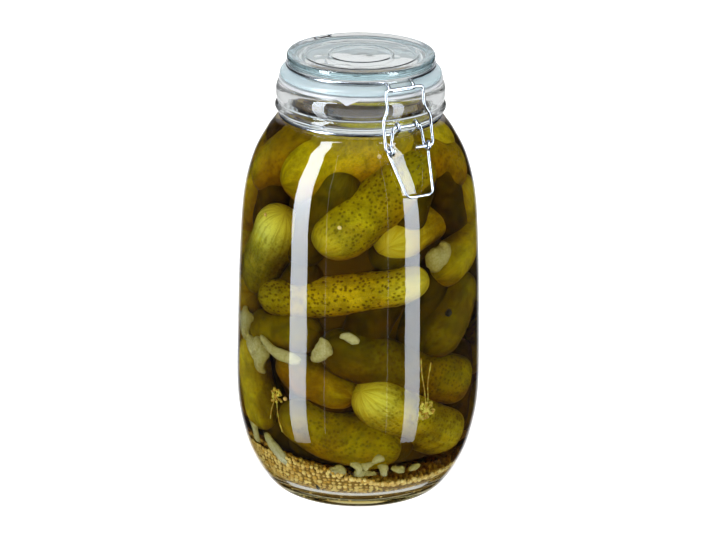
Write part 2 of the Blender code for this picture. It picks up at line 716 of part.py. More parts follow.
def build():
    for old in list(bpy.data.objects):
        bpy.data.objects.remove(old)
    glass = make_material("clear_glass", (0.86, 0.91, 0.90), 0.05, alpha=0.35)
    rubber = make_material("clear_silicone", (0.88, 0.88, 0.86), 0.45)
    steel = make_material("galvanised_wire", (0.72, 0.74, 0.76), 0.30, metallic=1.0)
    pickle = make_material("pickled_skin", (0.24, 0.22, 0.02), 0.40)
    mustard = make_material("mustard_grain", (0.55, 0.38, 0.12), 0.55)

    add_jar(glass)
    add_gherkins(pickle)
    add_seed_bed(mustard)
    add_neck_wire(steel)

    lid_pivot = add_pivot("lid_hinge", LID_HINGE)
    lever_pivot = add_pivot("lever_pivot", LEVER_PIVOT)
    link_pivot = add_pivot("link_pivot", LINK_PIVOT, lever_pivot)
    for item in (add_lid(glass), add_seal(rubber), add_lid_wire(steel)):
        hang(item, lid_pivot, LID_HINGE)
    hang(add_lever(steel), lever_pivot, LEVER_PIVOT)
    hang(add_link(steel), link_pivot, LINK_PIVOT)


build()
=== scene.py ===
"""Looks for the clip-top jar of pickled gherkins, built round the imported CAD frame.

Lengths are in metres. A bearing is an angle round the jar in degrees: 0 at the clasp (-Y), positive
towards +X. The outlines, pivots and wire paths repeat the CAD source's values at a finer resolution.
"""

import random
from math import asin, atan2, copysign, cos, degrees, hypot, pi, radians, sin, sqrt

import bmesh
import bpy
import numpy as np
from mathutils import Matrix, Vector


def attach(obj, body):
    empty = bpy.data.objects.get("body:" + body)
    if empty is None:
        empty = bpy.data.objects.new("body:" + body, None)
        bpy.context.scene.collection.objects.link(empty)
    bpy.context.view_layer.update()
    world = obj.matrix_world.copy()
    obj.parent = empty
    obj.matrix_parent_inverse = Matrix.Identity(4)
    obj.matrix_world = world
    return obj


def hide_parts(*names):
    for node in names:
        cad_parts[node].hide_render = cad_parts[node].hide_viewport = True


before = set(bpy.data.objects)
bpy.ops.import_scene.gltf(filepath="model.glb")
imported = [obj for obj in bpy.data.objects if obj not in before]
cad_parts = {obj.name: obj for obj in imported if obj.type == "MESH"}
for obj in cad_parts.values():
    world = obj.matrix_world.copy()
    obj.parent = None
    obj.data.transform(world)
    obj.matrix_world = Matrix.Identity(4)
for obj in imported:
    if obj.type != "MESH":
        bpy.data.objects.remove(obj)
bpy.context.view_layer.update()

# ---- camera and lights -----------------------------------------------------------------------------

FRAME_WIDTH = 716
SENSOR = 36.0
FOCAL_PIXELS = 3333.0
CAMERA_DISTANCE = 2.0
CAMERA_BEARING = -29.5
CAMERA_ELEVATION = 19.8
CAMERA_ROLL = 0.55
CAMERA_AIM = (0.0, 0.0, 0.135)
AIM_RIGHT = -0.0006
AIM_UP = -0.0009

# tall softboxes: name, bearing from the camera's, foot, top, width, power per area, and how much
# dimmer the foot is
STRIPS = (
    ("strip_left", -57.8, -1.3, 5.0, 0.56, 20.5, 0.86),
    ("strip_right", 51.3, -1.25, 5.0, 0.48, 14.0, 0.68),
    ("edge_left", -31.0, -1.0, 2.0, 0.03, 1.6, 0.0),
    ("edge_right", 27.0, -1.0, 2.0, 0.03, 1.6, 0.0),
)
STRIP_DISTANCE = 1.8
STRIP_FULL_HEIGHT = 0.5
STRIP_COLOUR = (0.87, 0.94, 1.0)

# four studios: an even light, then round patches of more, each with its bearing from the camera's,
# elevation, inner and outer edge in degrees, and strength
LIGHTING_SKY = (0.5, ((180.0, 0.0, 40.0, 120.0, 0.65), (-58.0, 12.0, 12.0, 50.0, 4.4),
                      (52.0, 12.0, 12.0, 50.0, 3.7), (0.0, 75.0, 20.0, 75.0, 0.8)))
MIRROR_SKY = (0.01, ((180.0, 22.0, 12.0, 35.0, 0.95), (180.0, -24.0, 8.0, 26.0, 0.9),
                     (0.0, 85.0, 15.0, 50.0, 0.5)))
THROUGH_SKY = (0.18, ((180.0, 0.0, 40.0, 120.0, 0.7), (-50.0, 12.0, 12.0, 50.0, 1.9),
                      (45.0, 12.0, 12.0, 50.0, 1.7), (0.0, 10.0, 10.0, 55.0, 0.7),
                      (0.0, 75.0, 20.0, 75.0, 1.15)))
SEEN_SKY = (0.24, ((180.0, -10.0, 15.0, 75.0, 0.85), (0.0, 80.0, 20.0, 70.0, 0.45)))
BACKDROP = (1.05, 1.05, 1.05)

# the table has painted shade where it shows through clear glass, and a painted pool of light under the
# jar that passes for the light that the thick base gathers
FLOOR_RADIUS = 12.0
FLOOR_SEGMENTS = 96
FLOOR_DROP = 0.0001
FLOOR_SEEN = (0.6, 0.6, 0.6)
FLOOR_THROUGH_GLASS = (0.3, 0.3, 0.3)
FLOOR_GLOW = (0.42, 0.2)
UNDER_JAR_GLOW = 0.45
UNDER_JAR_EDGES = (0.062, 0.046)

# ---- sizes repeated from the CAD -------------------------------------------------------------------

WALL = 0.0034
FOOT_RADIUS = 0.04
FOOT_HOLLOW = 0.0022
BODY_OUTLINE = (
    (0.046, 0.0), (0.0538, 0.004), (0.0628, 0.018), (0.0688, 0.034), (0.073, 0.06),
    (0.0727, 0.105), (0.0716, 0.145), (0.0692, 0.182), (0.0637, 0.206), (0.0557, 0.222),
    (0.05, 0.23),
)
NECK_OUTLINE = (
    (0.05, 0.23), (0.047, 0.2316), (0.0456, 0.2327), (0.0456, 0.2341), (0.0469, 0.2355),
    (0.0498, 0.2366), (0.0507, 0.2385), (0.0499, 0.2404), (0.0489, 0.2415), (0.0496, 0.2428),
    (0.0501, 0.2458), (0.0499, 0.25), (0.0489, 0.2526), (0.0469, 0.2537),
)
MOUTH_OUTLINE = ((0.0452, 0.2532), (0.0441, 0.2518), (0.0438, 0.247), (0.0437, 0.237))
FLOOR_OUTLINE = ((0.0585, 0.026), (0.051, 0.0168), (0.0405, 0.0108), (0.028, 0.008), (0.0, 0.0076))
INNER_WALL_LOW = 0.0335
INNER_WALL_HIGH = 0.226
LID_UNDERSIDE = (
    (0.0, 0.2642), (0.035, 0.264), (0.0385, 0.2624), (0.0403, 0.2584), (0.0412, 0.2535),
    (0.0419, 0.2528), (0.0427, 0.2531), (0.0431, 0.2544),
)
LID_FLANGE = (
    (0.0431, 0.2564), (0.0466, 0.2564), (0.0476, 0.2571), (0.0476, 0.2588), (0.0468, 0.2599),
    (0.043, 0.2619),
)
LID_GROOVE = ((0.0421, 0.2623), (0.0419, 0.2638), (0.0421, 0.2654), (0.0431, 0.2663))
LID_TOP = (
    (0.0437, 0.2672), (0.0437, 0.2688), (0.0431, 0.2699), (0.0417, 0.2702), (0.0402, 0.27),
    (0.0382, 0.2692), (0.0345, 0.269),
)
LID_RIDGES = (0.0333, 0.0187)
RIDGE_HEIGHT = 0.0005
RIDGE_HALF_WIDTH = 0.0009
LID_FACE = 0.269

SEAL_INNER = 0.0435
SEAL_OUTER = 0.0484
SEAL_BOTTOM = 0.2541
SEAL_TOP = 0.256
TAB_BEARING = -38.0
TAB_HALF_WIDTH = 0.0066
TAB_REACH = 0.0056
TAB_DROOP = 0.001
TAB_THICKNESS = 0.0016
TAB_ROOT = 0.0022
TAB_ROWS = 16
TAB_SIDES = 16

WIRE_RADIUS = 0.00095
WIRE_SIDES = 20
EYE_RADIUS = 0.0023
BEND_RADIUS = 0.0024
BEND_STEPS = 10
RING_STEP = 2.5
NECK_RING_RADIUS = 0.0474
NECK_RING_HEIGHT = 0.2334
LID_RING_RADIUS = 0.04335
LID_RING_HEIGHT = 0.2634
LEVER_PIVOT = (-0.0542, 0.2395)
LINK_PIVOT = (-0.0579, 0.227)
LID_HINGE = (0.0544, 0.2375)
NECK_EYE_X = 0.006
HINGE_BAR_HALF = 0.0086
LID_EYE_X = 0.005
TONGUE_HALF = 0.008
TONGUE_END = (-0.049, 0.26)
NECK_STEM = (-0.0518, 0.2338)
HINGE_TURN = (0.0512, 0.234)
FLANGE_CREST = (-0.0462, 0.2625)
HINGE_CREST = (0.049, 0.2626)
HINGE_DROP = (0.0566, 0.254)
NECK_EYE_TURN = (-45.0, 260.0)
LID_EYE_TURN = (180.0, 265.0)
LEVER_COIL_TURN = (196.5, 371.0)
LEVER_TOP_HALF = 0.009
LEVER_COIL_INNER = 0.0112
LEVER_COIL_OUTER = 0.0133
LEVER_END_HALF = 0.0086
LEVER_END = (-0.071, 0.202)
LEVER_TOP_BEND = 0.0018
LEVER_END_BEND = 0.0034
LINK_BAR = (-0.05075, 0.26145)
LINK_TOP_HALF = 0.0122
LINK_FOOT_HALF = 0.0156
LINK_KNEE_HEIGHTS = (0.2445, 0.25)
LINK_PIN_ENDS = (-0.0095, 0.004)

# roundings: radius and steps
FOOT_BEND = (0.0012, 4)
NECK_BEND = (0.001, 5)
MOUTH_BEND = (0.004, 6)
HEEL_BEND = (0.006, 6)
EDGE_BEND = (0.0009, 5)
SURFACE_BEND = (0.002, 5)
CURVE_STEPS = 8
ROUND_SEGMENTS = 192
SEAL_SEGMENTS = 160
BED_SEGMENTS = 96
CORE_SEGMENTS = 48
GLASS_SHARP = 70.0
UP = Vector((0.0, 0.0, 1.0))
SMALL = 1e-9

# starts of the random draws; where there are several pieces, each adds its number
GHERKIN_DRAW, ONION_DRAW, PEPPER_DRAW, DILL_DRAW = 100, 300, 500, 700
INNER_DRAW, SEED_PLACE_DRAW, SEED_TURN_DRAW = 5, 11, 12

# ---- glass and brine -------------------------------------------------------------------------------

CLEAR = (1.0, 1.0, 1.0)
GLASS_IOR = 1.5
BRINE_IOR = 1.34
GLASS_DEPTH_TINT = (0.5, 0.8, 0.86)
GLASS_DENSITY = 13.0
JAR_TINT = (0.955, 0.985, 0.99)
JAR_WAVES = (30.0, 0.12)
LID_WAVES = (60.0, 0.3)
WAVE_DEPTH = 0.001
BRINE_LEVEL = 0.2296
BRINE_OVERLAP = 0.0003
MENISCUS = 0.0008
MENISCUS_FOOT = 0.004
MENISCUS_KNEE = 0.0012
SURFACE_LIFT = 0.0002
WETTED_SHARE = 0.4
WETTED_LOW = 0.004
BRINE_TINT = (0.74, 0.63, 0.05)
BRINE_DENSITY = 100.0

# the lid's flange is pressed duller than its face
FROST_HEIGHT = 0.2618
FROST_FADE = 0.0006
FROST_COLOUR = (0.58, 0.69, 0.73, 1.0)
FROST_ROUGHNESS = 0.25
FROST_TRANSMISSION = 0.62

# ---- contents --------------------------------------------------------------------------------------

# the gherkins and onions follow the CAD source's, with some moved or added to match the photograph

# each gherkin: (bearing, depth behind the glass, height) of its two ends, girth, bow, brown (0 green to
# 1 amber), specks (0 to 1), paleness, which end is the pale tip, and brightness, which is painted light
# and shade: at the start, the middle and the end, or one for all of it. Below 1 it paints shade where a
# gherkin lies deep in the brine or in a gap; above 1 it paints light where the brine glows.
GHERKINS = (
    ((-48, 0.016, 0.17), (19, 0.018, 0.208), 0.0315, 0.003, 0.25, 0.9, 0.15, 0, 0.86, 0.84, 0.7),
    ((-80, 0.019, 0.2), (19, 0.024, 0.221), 0.034, 0.004, 0.3, 0.3, 0.15, 1, 0.85, 1.28, 1.25),
    ((-82, 0.015, 0.176), (-112, 0.02, 0.132), 0.029, 0.003, 0.15, 0.5, 1.0, 0, 0.7, 0.48, 0.45),
    ((-9, 0.018, 0.169), (77, 0.028, 0.175), 0.0275, 0.001, 0.15, 0.1, 1.0, 0, 1.25, 1.15, 1.8),
    ((-93, 0.016, 0.127), (6, 0.013, 0.145), 0.0235, 0.009, 0.05, 1.0, 0.45, 1, 0.52, 1.45, 1.0),
    ((27, 0.018, 0.145), (72, 0.014, 0.16), 0.026, 0.003, 0.4, 0.2, 0.3, 1, 0.85, 0.9, 0.9),
    ((20, 0.02, 0.103), (50, 0.017, 0.13), 0.032, 0.002, 0.6, 0.5, 0.0, 1, 0.38, 0.34, 0.44),
    ((-44, 0.02, 0.105), (47, 0.017, 0.071), 0.031, 0.008, 0.45, 0.8, 0.0, 0, 0.31, 0.38, 0.78),
    ((-23, 0.0155, 0.0765), (44, 0.0195, 0.039), 0.03, 0.003, 0.1, 0.6, 0.85, 0, 0.92, 0.8, 0.9),
    ((-71, 0.017, 0.058), (-9, 0.021, 0.041), 0.031, 0.005, 0.35, 0.7, 0.05, 0, 0.55, 0.62, 0.7),
    ((-108, 0.013, 0.09), (-95, 0.015, 0.05), 0.026, 0.002, 0.4, 0.3, 0.2, 0, 0.85),
    ((13, 0.024, 0.213), (59, 0.016, 0.197), 0.028, 0.002, 0.8, 0.5, 0.0, 1, 0.66, 0.7, 0.74),
    ((59, 0.018, 0.186), (72, 0.022, 0.16), 0.025, 0.002, 0.15, 0.1, 0.4, 0, 1.05),
    ((-114, 0.015, 0.194), (-81, 0.026, 0.217), 0.029, 0.003, 0.8, 0.5, 0.0, 1, 0.75, 0.68, 0.62),
    ((-84, 0.028, 0.086), (-38, 0.022, 0.076), 0.027, 0.002, 0.6, 0.3, 0.1, 0, 0.85),
    ((-104, 0.02, 0.103), (-62, 0.021, 0.112), 0.026, 0.002, 0.15, 0.2, 0.0, 0, 0.5),
    ((-58, 0.028, 0.17), (-92, 0.026, 0.158), 0.024, 0.002, 0.6, 0.3, 0.0, 0, 0.4),
    ((30, 0.021, 0.219), (70, 0.021, 0.209), 0.023, 0.002, 0.2, 0.3, 0.3, 0, 1.05),
    ((86, 0.015, 0.116), (150, 0.015, 0.14), 0.0285, 0.007, 0.2, 0.9, 0.3, 0, 0.95),
    ((-172, 0.015, 0.12), (-124, 0.016, 0.152), 0.029, 0.004, 0.3, 0.6, 0.3, 1, 0.95),
    ((80, 0.016, 0.074), (140, 0.016, 0.1), 0.029, 0.006, 0.45, 0.6, 0.15, 0, 0.8),
    ((168, 0.015, 0.072), (222, 0.016, 0.098), 0.03, 0.005, 0.15, 0.8, 0.4, 1, 1.0),
    ((84, 0.0195, 0.045), (148, 0.02, 0.05), 0.029, 0.006, 0.35, 0.5, 0.2, 0, 0.8),
    ((172, 0.0195, 0.047), (230, 0.02, 0.052), 0.029, 0.006, 0.45, 0.4, 0.15, 1, 0.8),
    ((92, 0.015, 0.158), (150, 0.015, 0.184), 0.028, 0.006, 0.25, 0.8, 0.3, 1, 1.0),
    ((176, 0.015, 0.168), (218, 0.016, 0.2), 0.029, 0.004, 0.1, 0.6, 0.45, 0, 1.0),
    ((98, 0.02, 0.206), (158, 0.022, 0.212), 0.027, 0.005, 0.5, 0.4, 0.1, 0, 0.8),
    ((-136, 0.016, 0.112), (-116, 0.018, 0.122), 0.026, 0.002, 0.35, 0.4, 0.15, 1, 0.8),
    ((-150, 0.016, 0.136), (-118, 0.019, 0.19), 0.028, 0.004, 0.35, 0.0, 0.3, 0, 1.1),
)
FRONT_GHERKINS = 18
FRONT_SIDES, FRONT_RINGS = 64, 80
BACK_SIDES, BACK_RINGS = 56, 64
END_REACH = 0.26
BLUNTNESS = 1.05
HEAP_LOW = 0.02
HEAP_HIGH = 0.2285
PRESS_GAP = 0.0006
SPECK_SCALE = 400.0
WART_AREA = 0.00004
WART_HEIGHT = 0.0003
TIP_LENGTH = 0.013
SPECK_FADE = 0.014
INNER_SIDES, INNER_RINGS = 36, 40
INNER_LEVELS = (0.062, 0.125, 0.18)
INNER_LAYER = 7
INNER_RADIUS = 0.039
INNER_HALF = 0.026
INNER_GIRTH = 0.026
INNER_BOW = 0.002
# the inner gherkins' brightness: painted shade that keeps the gaps between the outer ones dark
INNER_SHADE = 0.22
CORE_OUTLINE = ((0.0, 0.025), (0.032, 0.026), (0.042, 0.042), (0.044, 0.12), (0.04, 0.19),
                (0.026, 0.212), (0.0, 0.214))

# each onion piece: bearing, depth behind the glass, height, length, half width, half thickness,
# tilt from level in degrees, and how far its middle curls up
ONIONS = (
    (-107, 0.005, 0.105, 0.021, 0.0085, 0.0026, 74, 0.002),
    (-96, 0.0055, 0.0965, 0.017, 0.0066, 0.0024, 20, -0.002),
    (-89, 0.006, 0.09, 0.019, 0.0056, 0.0022, 80, 0.001),
    (-74, 0.006, 0.101, 0.033, 0.0036, 0.0018, -12, -0.003),
    (-51, 0.006, 0.106, 0.017, 0.0046, 0.0018, 64, -0.003),
    (-34, 0.005, 0.1145, 0.012, 0.0026, 0.0014, -20, 0.001),
    (20, 0.008, 0.157, 0.019, 0.0068, 0.003, 38, 0.001),
    (-97, 0.0045, 0.042, 0.016, 0.0038, 0.0014, -68, 0.001),
    (-79, 0.0035, 0.036, 0.023, 0.0036, 0.0015, -42, 0.001),
    (-41, 0.0042, 0.0285, 0.0105, 0.0028, 0.0012, 10, 0.001),
    (-30, 0.005, 0.032, 0.0095, 0.0026, 0.0011, -62, 0.001),
    (-27, 0.0038, 0.0265, 0.009, 0.0034, 0.0012, 70, 0.001),
    (-23, 0.0058, 0.0335, 0.008, 0.0026, 0.0011, 40, 0.001),
    (-22, 0.0042, 0.0245, 0.009, 0.003, 0.0012, -10, 0.001),
    (-18, 0.0055, 0.0375, 0.0075, 0.0026, 0.0011, 15, 0.001),
    (-15, 0.0048, 0.0295, 0.01, 0.0024, 0.0011, -70, 0.001),
    (-5, 0.005, 0.0275, 0.009, 0.0022, 0.001, -25, 0.001),
    (7, 0.005, 0.0265, 0.008, 0.002, 0.001, 20, 0.001),
    (98, 0.004, 0.03, 0.018, 0.005, 0.0015, 15, 0.002),
    (150, 0.004, 0.029, 0.02, 0.0045, 0.0015, -15, 0.003),
    (-150, 0.004, 0.03, 0.019, 0.005, 0.0015, 30, 0.002),
    (128, 0.006, 0.152, 0.019, 0.0056, 0.0018, -30, 0.002),
    (-156, 0.006, 0.108, 0.019, 0.005, 0.0018, 50, 0.002),
)
ONION_RINGS = 22
ONION_SIDES = 28

# the seed bed: low in front on the right, heaped up against the left wall
BED_LOW = 0.0185
BED_RISE = 0.015
BED_HIGH_BEARING = -98.0
BED_REACH = 0.055
BED_CURVE = 1.2
BED_LIFT = 0.001
BED_INSET = 0.0018
BED_DROP = 0.0006
BED_STEP = 0.0002
BED_SHARES = (1.0, 0.8, 0.6, 0.4, 0.2, 0.0)
BED_TOP_INSET = 0.0022

# loose seeds: in layers against the glass, on top of the bed, and strays by bearing and height
TOP_SEEDS = 1250
SEED_STEP = 0.0029
SEED_LAYER = 0.0023
SEED_RADIUS = 0.0013
SEED_GAP = 0.0002
FIRST_LAYER_LIFT = 0.0016
SEED_COVER = 0.0006
TOP_REACH = 0.059
TOP_LIFT = 0.001
TOP_INSET = 0.0016
GOLDEN_TURN = 137.508
STRAY_SEEDS = ((-39.5, 0.183), (-17.2, 0.2213), (-84.8, 0.1814), (-66.9, 0.073), (118.0, 0.141),
               (-162.0, 0.092), (171.0, 0.178))
STRAY_DEPTH = 0.0011

# black peppercorns: bearing, depth, height, radius
PEPPERCORNS = ((21, 0.0032, 0.1235, 0.0023), (-56, 0.0026, 0.016, 0.0013), (142, 0.0035, 0.118, 0.0022))

# dill: the stem's places, then the flower head's number of rays and their length
DILL = (
    (((3, 0.003, 0.1), (3.5, 0.0028, 0.09), (5, 0.0025, 0.079), (6, 0.0022, 0.0668)), 14, 0.0055),
    (((9, 0.003, 0.096), (7, 0.0028, 0.084), (7, 0.0025, 0.074), (6, 0.0022, 0.0668)), 0, 0.0),
    (((-79, 0.0045, 0.056), (-77, 0.004, 0.064), (-74, 0.004, 0.0722)), 9, 0.004),
    (((-71, 0.0045, 0.05), (-73, 0.004, 0.06), (-74, 0.004, 0.0722)), 0, 0.0),
    (((160, 0.003, 0.16), (164, 0.0028, 0.148), (166, 0.0025, 0.137)), 12, 0.005),
)
STALK_RADIUS = 0.00045
RAY_RADIUS = 0.00042
RAY_STEPS = 5
DILL_SEEDS = 3
DILL_SPREAD = 0.0009
DILL_GAP = 0.0004

# skins of two colours: their noise's scale, detail and edges, the colours, what else the shader
# gets, and the bumps' noise scale, strength and depth
SKINS = {
    "milky_silicone": (120.0, 2.0, None, (0.54, 0.56, 0.59), (0.64, 0.66, 0.68),
                       {"Roughness": 0.3, "Transmission Weight": 0.45, "IOR": 1.41},
                       (900.0, 0.1, 0.0003)),
    "heap_shade": (60.0, 3.0, None, (0.14, 0.105, 0.004), (0.26, 0.2, 0.006),
                   {"Roughness": 0.7, "Specular IOR Level": 0.1}, None),
    "pickled_onion": (700.0, 3.0, (0.35, 0.65), (0.64, 0.66, 0.44), (0.84, 0.86, 0.7),
                      {"Roughness": 0.4, "Specular IOR Level": 0.2, "Alpha": 0.54},
                      (700.0, 0.3, 0.0004)),
    # the bed: seed colour darkened with painted shade for the gaps between the loose seeds
    "mustard_seed_and_painted_gap_shade": (500.0, 2.0, None, (0.16, 0.085, 0.02), (0.4, 0.25, 0.075),
                            {"Roughness": 0.6, "Specular IOR Level": 0.1}, None),
    "peppercorn_skin": (1400.0, 3.0, None, (0.01, 0.008, 0.006), (0.05, 0.04, 0.02),
                        {"Roughness": 0.6}, (1400.0, 0.6, 0.0006)),
    "pickled_dill": (420.0, 2.0, (0.4, 0.6), (0.78, 0.74, 0.14), (0.55, 0.32, 0.05),
                     {"Roughness": 0.5, "Specular IOR Level": 0.2}, (2500.0, 0.2, 0.0002)),
}


# ---- outlines --------------------------------------------------------------------------------------

def vectors(points):
    return [Vector(p) for p in points]


def smooth_curve(points, steps=CURVE_STEPS):
    """Points along a Catmull-Rom curve that passes through the given points."""
    knots = vectors(points)
    knots = [2 * knots[0] - knots[1]] + knots + [2 * knots[-1] - knots[-2]]
    curve = []
    for i in range(1, len(knots) - 2):
        before, start, end, after = knots[i - 1:i + 3]
        for step in range(steps):
            t = step / steps
            curve.append(0.5 * (2 * start + (end - before) * t
                                + (2 * before - 5 * start + 4 * end - after) * t * t
                                + (3 * start - before - 3 * end + after) * t * t * t))
    curve.append(knots[-2])
    return curve


def bent(corners, radius=BEND_RADIUS, steps=BEND_STEPS):
    """A polyline whose inner corners are rounded, in two or three dimensions."""
    path = [corners[0]]
    for before, corner, after in zip(corners, corners[1:], corners[2:]):
        into = before - corner
        out = after - corner
        trim = min(radius, 0.45 * into.length, 0.45 * out.length)
        start = corner + trim * into.normalized()
        end = corner + trim * out.normalized()
        for step in range(steps + 1):
            t = step / steps
            path.append((1 - t) ** 2 * start + 2 * t * (1 - t) * corner + t * t * end)
    path.append(corners[-1])
    return path


def beside(curve, distance):
    """A flat curve moved to its left."""
    moved = []
    for i, point in enumerate(curve):
        way = (curve[min(i + 1, len(curve) - 1)] - curve[max(i - 1, 0)]).normalized()
        moved.append(point + distance * Vector((-way.y, way.x)))
    return moved


def inner_wall():
    """The inner face of the jar's wall, from the shoulder down to the heel."""
    wall = beside(smooth_curve(BODY_OUTLINE), WALL)[-2:0:-1]
    return [p for p in wall if INNER_WALL_LOW < p.y < INNER_WALL_HIGH]


INNER_WALL = inner_wall()
INNER_FACE = vectors(MOUTH_OUTLINE[-1:]) + INNER_WALL + vectors(FLOOR_OUTLINE)
INNER_HEIGHTS = np.array([p.y for p in INNER_FACE[::-1]])
INNER_RADII = np.array([p.x for p in INNER_FACE[::-1]])


def inside_radius(height):
    """Radius of the jar's inner face at a height."""
    for upper, lower in zip(INNER_FACE, INNER_FACE[1:]):
        if lower.y <= height <= upper.y:
            share = (height - lower.y) / (upper.y - lower.y)
            return lower.x + share * (upper.x - lower.x)
    return INNER_FACE[0].x if height > INNER_FACE[0].y else 0.0


def at_bearing(bearing, radius, height):
    angle = radians(bearing)
    return Vector((radius * sin(angle), -radius * cos(angle), height))


def inside_place(bearing, depth, height):
    return at_bearing(bearing, inside_radius(height) - depth, height)


def facing(place):
    """The directions out from the axis and level round it, at a place."""
    outward = Vector((place.x, place.y, 0.0)).normalized()
    return outward, UP.cross(outward)


# ---- mesh helpers ----------------------------------------------------------------------------------

def placed(name, data):
    """A scene object that holds the data."""
    item = bpy.data.objects.new(name, data)
    bpy.context.scene.collection.objects.link(item)
    return item


def smooth_object(name, bm, material=None):
    """A scene object from a bmesh, which it uses up."""
    mesh = bpy.data.meshes.new(name)
    bm.to_mesh(mesh)
    bm.free()
    if material:
        mesh.materials.append(material)
    mesh.shade_smooth()
    return placed(name, mesh)


def make_object(name, bm, material=None, sharp=60.0):
    """A smooth object whose faces look outward, with edges sharper than an angle kept."""
    bmesh.ops.recalc_face_normals(bm, faces=bm.faces)
    item = smooth_object(name, bm, material)
    if sharp:
        item.data.set_sharp_from_angle(angle=radians(sharp))
    return item


def joined(name, items, material):
    """One piece from several objects, which it uses up."""
    bm = bmesh.new()
    for item in items:
        bm.from_mesh(item.data)
        bpy.data.objects.remove(item)
    return smooth_object(name, bm, material)


def array_object(name, places, faces, marks, material):
    """A smooth object from faces and lists of arrays: places, and named values of its points."""
    mesh = bpy.data.meshes.new(name)
    mesh.from_pydata(np.concatenate(places).tolist(), [], faces)
    for key, parts in marks.items():
        values = np.concatenate(parts)
        kind, field = ("FLOAT", "value") if values.ndim == 1 else ("FLOAT_VECTOR", "vector")
        mesh.attributes.new(key, kind, "POINT").data.foreach_set(field, values.ravel())
    mesh.materials.append(material)
    mesh.shade_smooth()
    mesh.update()
    return placed(name, mesh)


def lofted(rings, closed=False, capped=False):
    """A bmesh with faces between rings of places, and across the end rings; one place is a point."""
    bm = bmesh.new()
    rings = [[bm.verts.new(place) for place in ring] for ring in rings]
    for first, second in zip(rings, rings[1:] + rings[:1] if closed else rings[1:]):
        count = max(len(first), len(second))
        for i in range(count):
            j = (i + 1) % count
            corners = [first[i % len(first)], first[j % len(first)],
                       second[j % len(second)], second[i % len(second)]]
            bm.faces.new([c for k, c in enumerate(corners) if c not in corners[:k]])
    if capped:
        bm.faces.new(rings[0])
        bm.faces.new(rings[-1])
    return bm


def turned(outline, segments=ROUND_SEGMENTS, closed=False):
    """A bmesh turned about Z from an outline of (radius, height) points."""
    bearings = [360.0 * i / segments for i in range(segments)]
    return lofted([[(0.0, 0.0, height)] if radius < SMALL
                   else [at_bearing(bearing, radius, height) for bearing in bearings]
                   for radius, height in outline], closed)


def swept(path, half_width, half_depth, sides, closed=False, taper=None):
    """A bmesh swept along a path with an elliptical section that doesn't twist."""
    count = len(path)
    tangents = []
    for i in range(count):
        before = path[i - 1] if closed or i else path[0]
        after = path[(i + 1) % count] if closed or i < count - 1 else path[-1]
        tangents.append((after - before).normalized())
    across = tangents[0].orthogonal().normalized()
    turns = [across]
    for i in range(1, count):
        across = tangents[i - 1].rotation_difference(tangents[i]) @ across
        across = (across - across.dot(tangents[i]) * tangents[i]).normalized()
        turns.append(across)
    slip = 0.0
    if closed:
        home = tangents[-1].rotation_difference(tangents[0]) @ across
        up = tangents[0].cross(turns[0])
        slip = atan2(home.dot(up), home.dot(turns[0]))
    rings = []
    for i in range(count):
        side = tangents[i].cross(turns[i])
        scale = taper(i / (count - 1)) if taper else 1.0
        ring = []
        for k in range(sides):
            angle = 2 * pi * k / sides - slip * i / count
            offset = cos(angle) * half_width * turns[i] + sin(angle) * half_depth * side
            ring.append(path[i] + scale * offset)
        rings.append(ring)
    return lofted(rings, closed, capped=not closed)


def squarer(value, power):
    """A sine or cosine that makes a round section squarer, with its sign kept."""
    return copysign(abs(value) ** power, value)


# ---- node helpers ----------------------------------------------------------------------------------

def new_material(name):
    material = bpy.data.materials.new(name)
    material.use_nodes = True
    return material, material.node_tree, material.node_tree.nodes["Principled BSDF"]


def set_inputs(tree, item, inputs):
    """Inputs of a node, each set to a value or linked to a socket."""
    for key, value in inputs.items():
        if isinstance(value, bpy.types.NodeSocket):
            tree.links.new(value, item.inputs[key])
        else:
            item.inputs[key].default_value = value


def node(tree, kind, inputs=None, **settings):
    """A new node with its settings and its inputs."""
    item = tree.nodes.new(kind)
    for key, value in settings.items():
        setattr(item, key, value)
    set_inputs(tree, item, inputs or {})
    return item


def colour(red, green, blue):
    return (red, green, blue, 1.0)


def mixed(tree, factor, first, second, blend="MIX"):
    return node(tree, "ShaderNodeMix", {0: factor, 6: first, 7: second}, data_type="RGBA",
                blend_type=blend).outputs[2]


def maths(tree, operation, first, second=0.0, clamp=False):
    return node(tree, "ShaderNodeMath", {0: first, 1: second}, operation=operation,
                use_clamp=clamp).outputs[0]


def product(tree, first, *others):
    for other in others:
        first = maths(tree, "MULTIPLY", first, other)
    return first


def vector_maths(tree, operation, inputs, output=0):
    return node(tree, "ShaderNodeVectorMath", inputs, operation=operation).outputs[output]


def ranged(tree, value, low, high, out_low=0.0, out_high=1.0, smooth=True):
    inputs = {"Value": value, "From Min": low, "From Max": high, "To Min": out_low,
              "To Max": out_high}
    return node(tree, "ShaderNodeMapRange", inputs,
                interpolation_type="SMOOTHSTEP" if smooth else "LINEAR").outputs["Result"]


def noisy(tree, vector, scale, detail=2.0, roughness=0.5, distortion=0.0):
    inputs = {"Vector": vector, "Scale": scale, "Detail": detail, "Roughness": roughness,
              "Distortion": distortion}
    return node(tree, "ShaderNodeTexNoise", inputs).outputs["Fac"]


def object_place(tree):
    return node(tree, "ShaderNodeTexCoord").outputs["Object"]


def height_of(tree, place):
    return node(tree, "ShaderNodeSeparateXYZ", {0: place}).outputs["Z"]


def attribute(tree, name, output="Fac"):
    return node(tree, "ShaderNodeAttribute", attribute_name=name).outputs[output]


def bumped(tree, height, strength, distance):
    inputs = {"Height": height, "Strength": strength, "Distance": distance}
    return node(tree, "ShaderNodeBump", inputs).outputs["Normal"]


# ---- materials -------------------------------------------------------------------------------------

def clear_material(name, ior, tint=CLEAR):
    """A clear body with a smooth face, its node tree and its shader."""
    material, tree, shader = new_material(name)
    set_inputs(tree, shader, {"Base Color": colour(*tint), "Transmission Weight": 1.0,
                              "IOR": ior, "Roughness": 0.0})
    return material, tree, shader


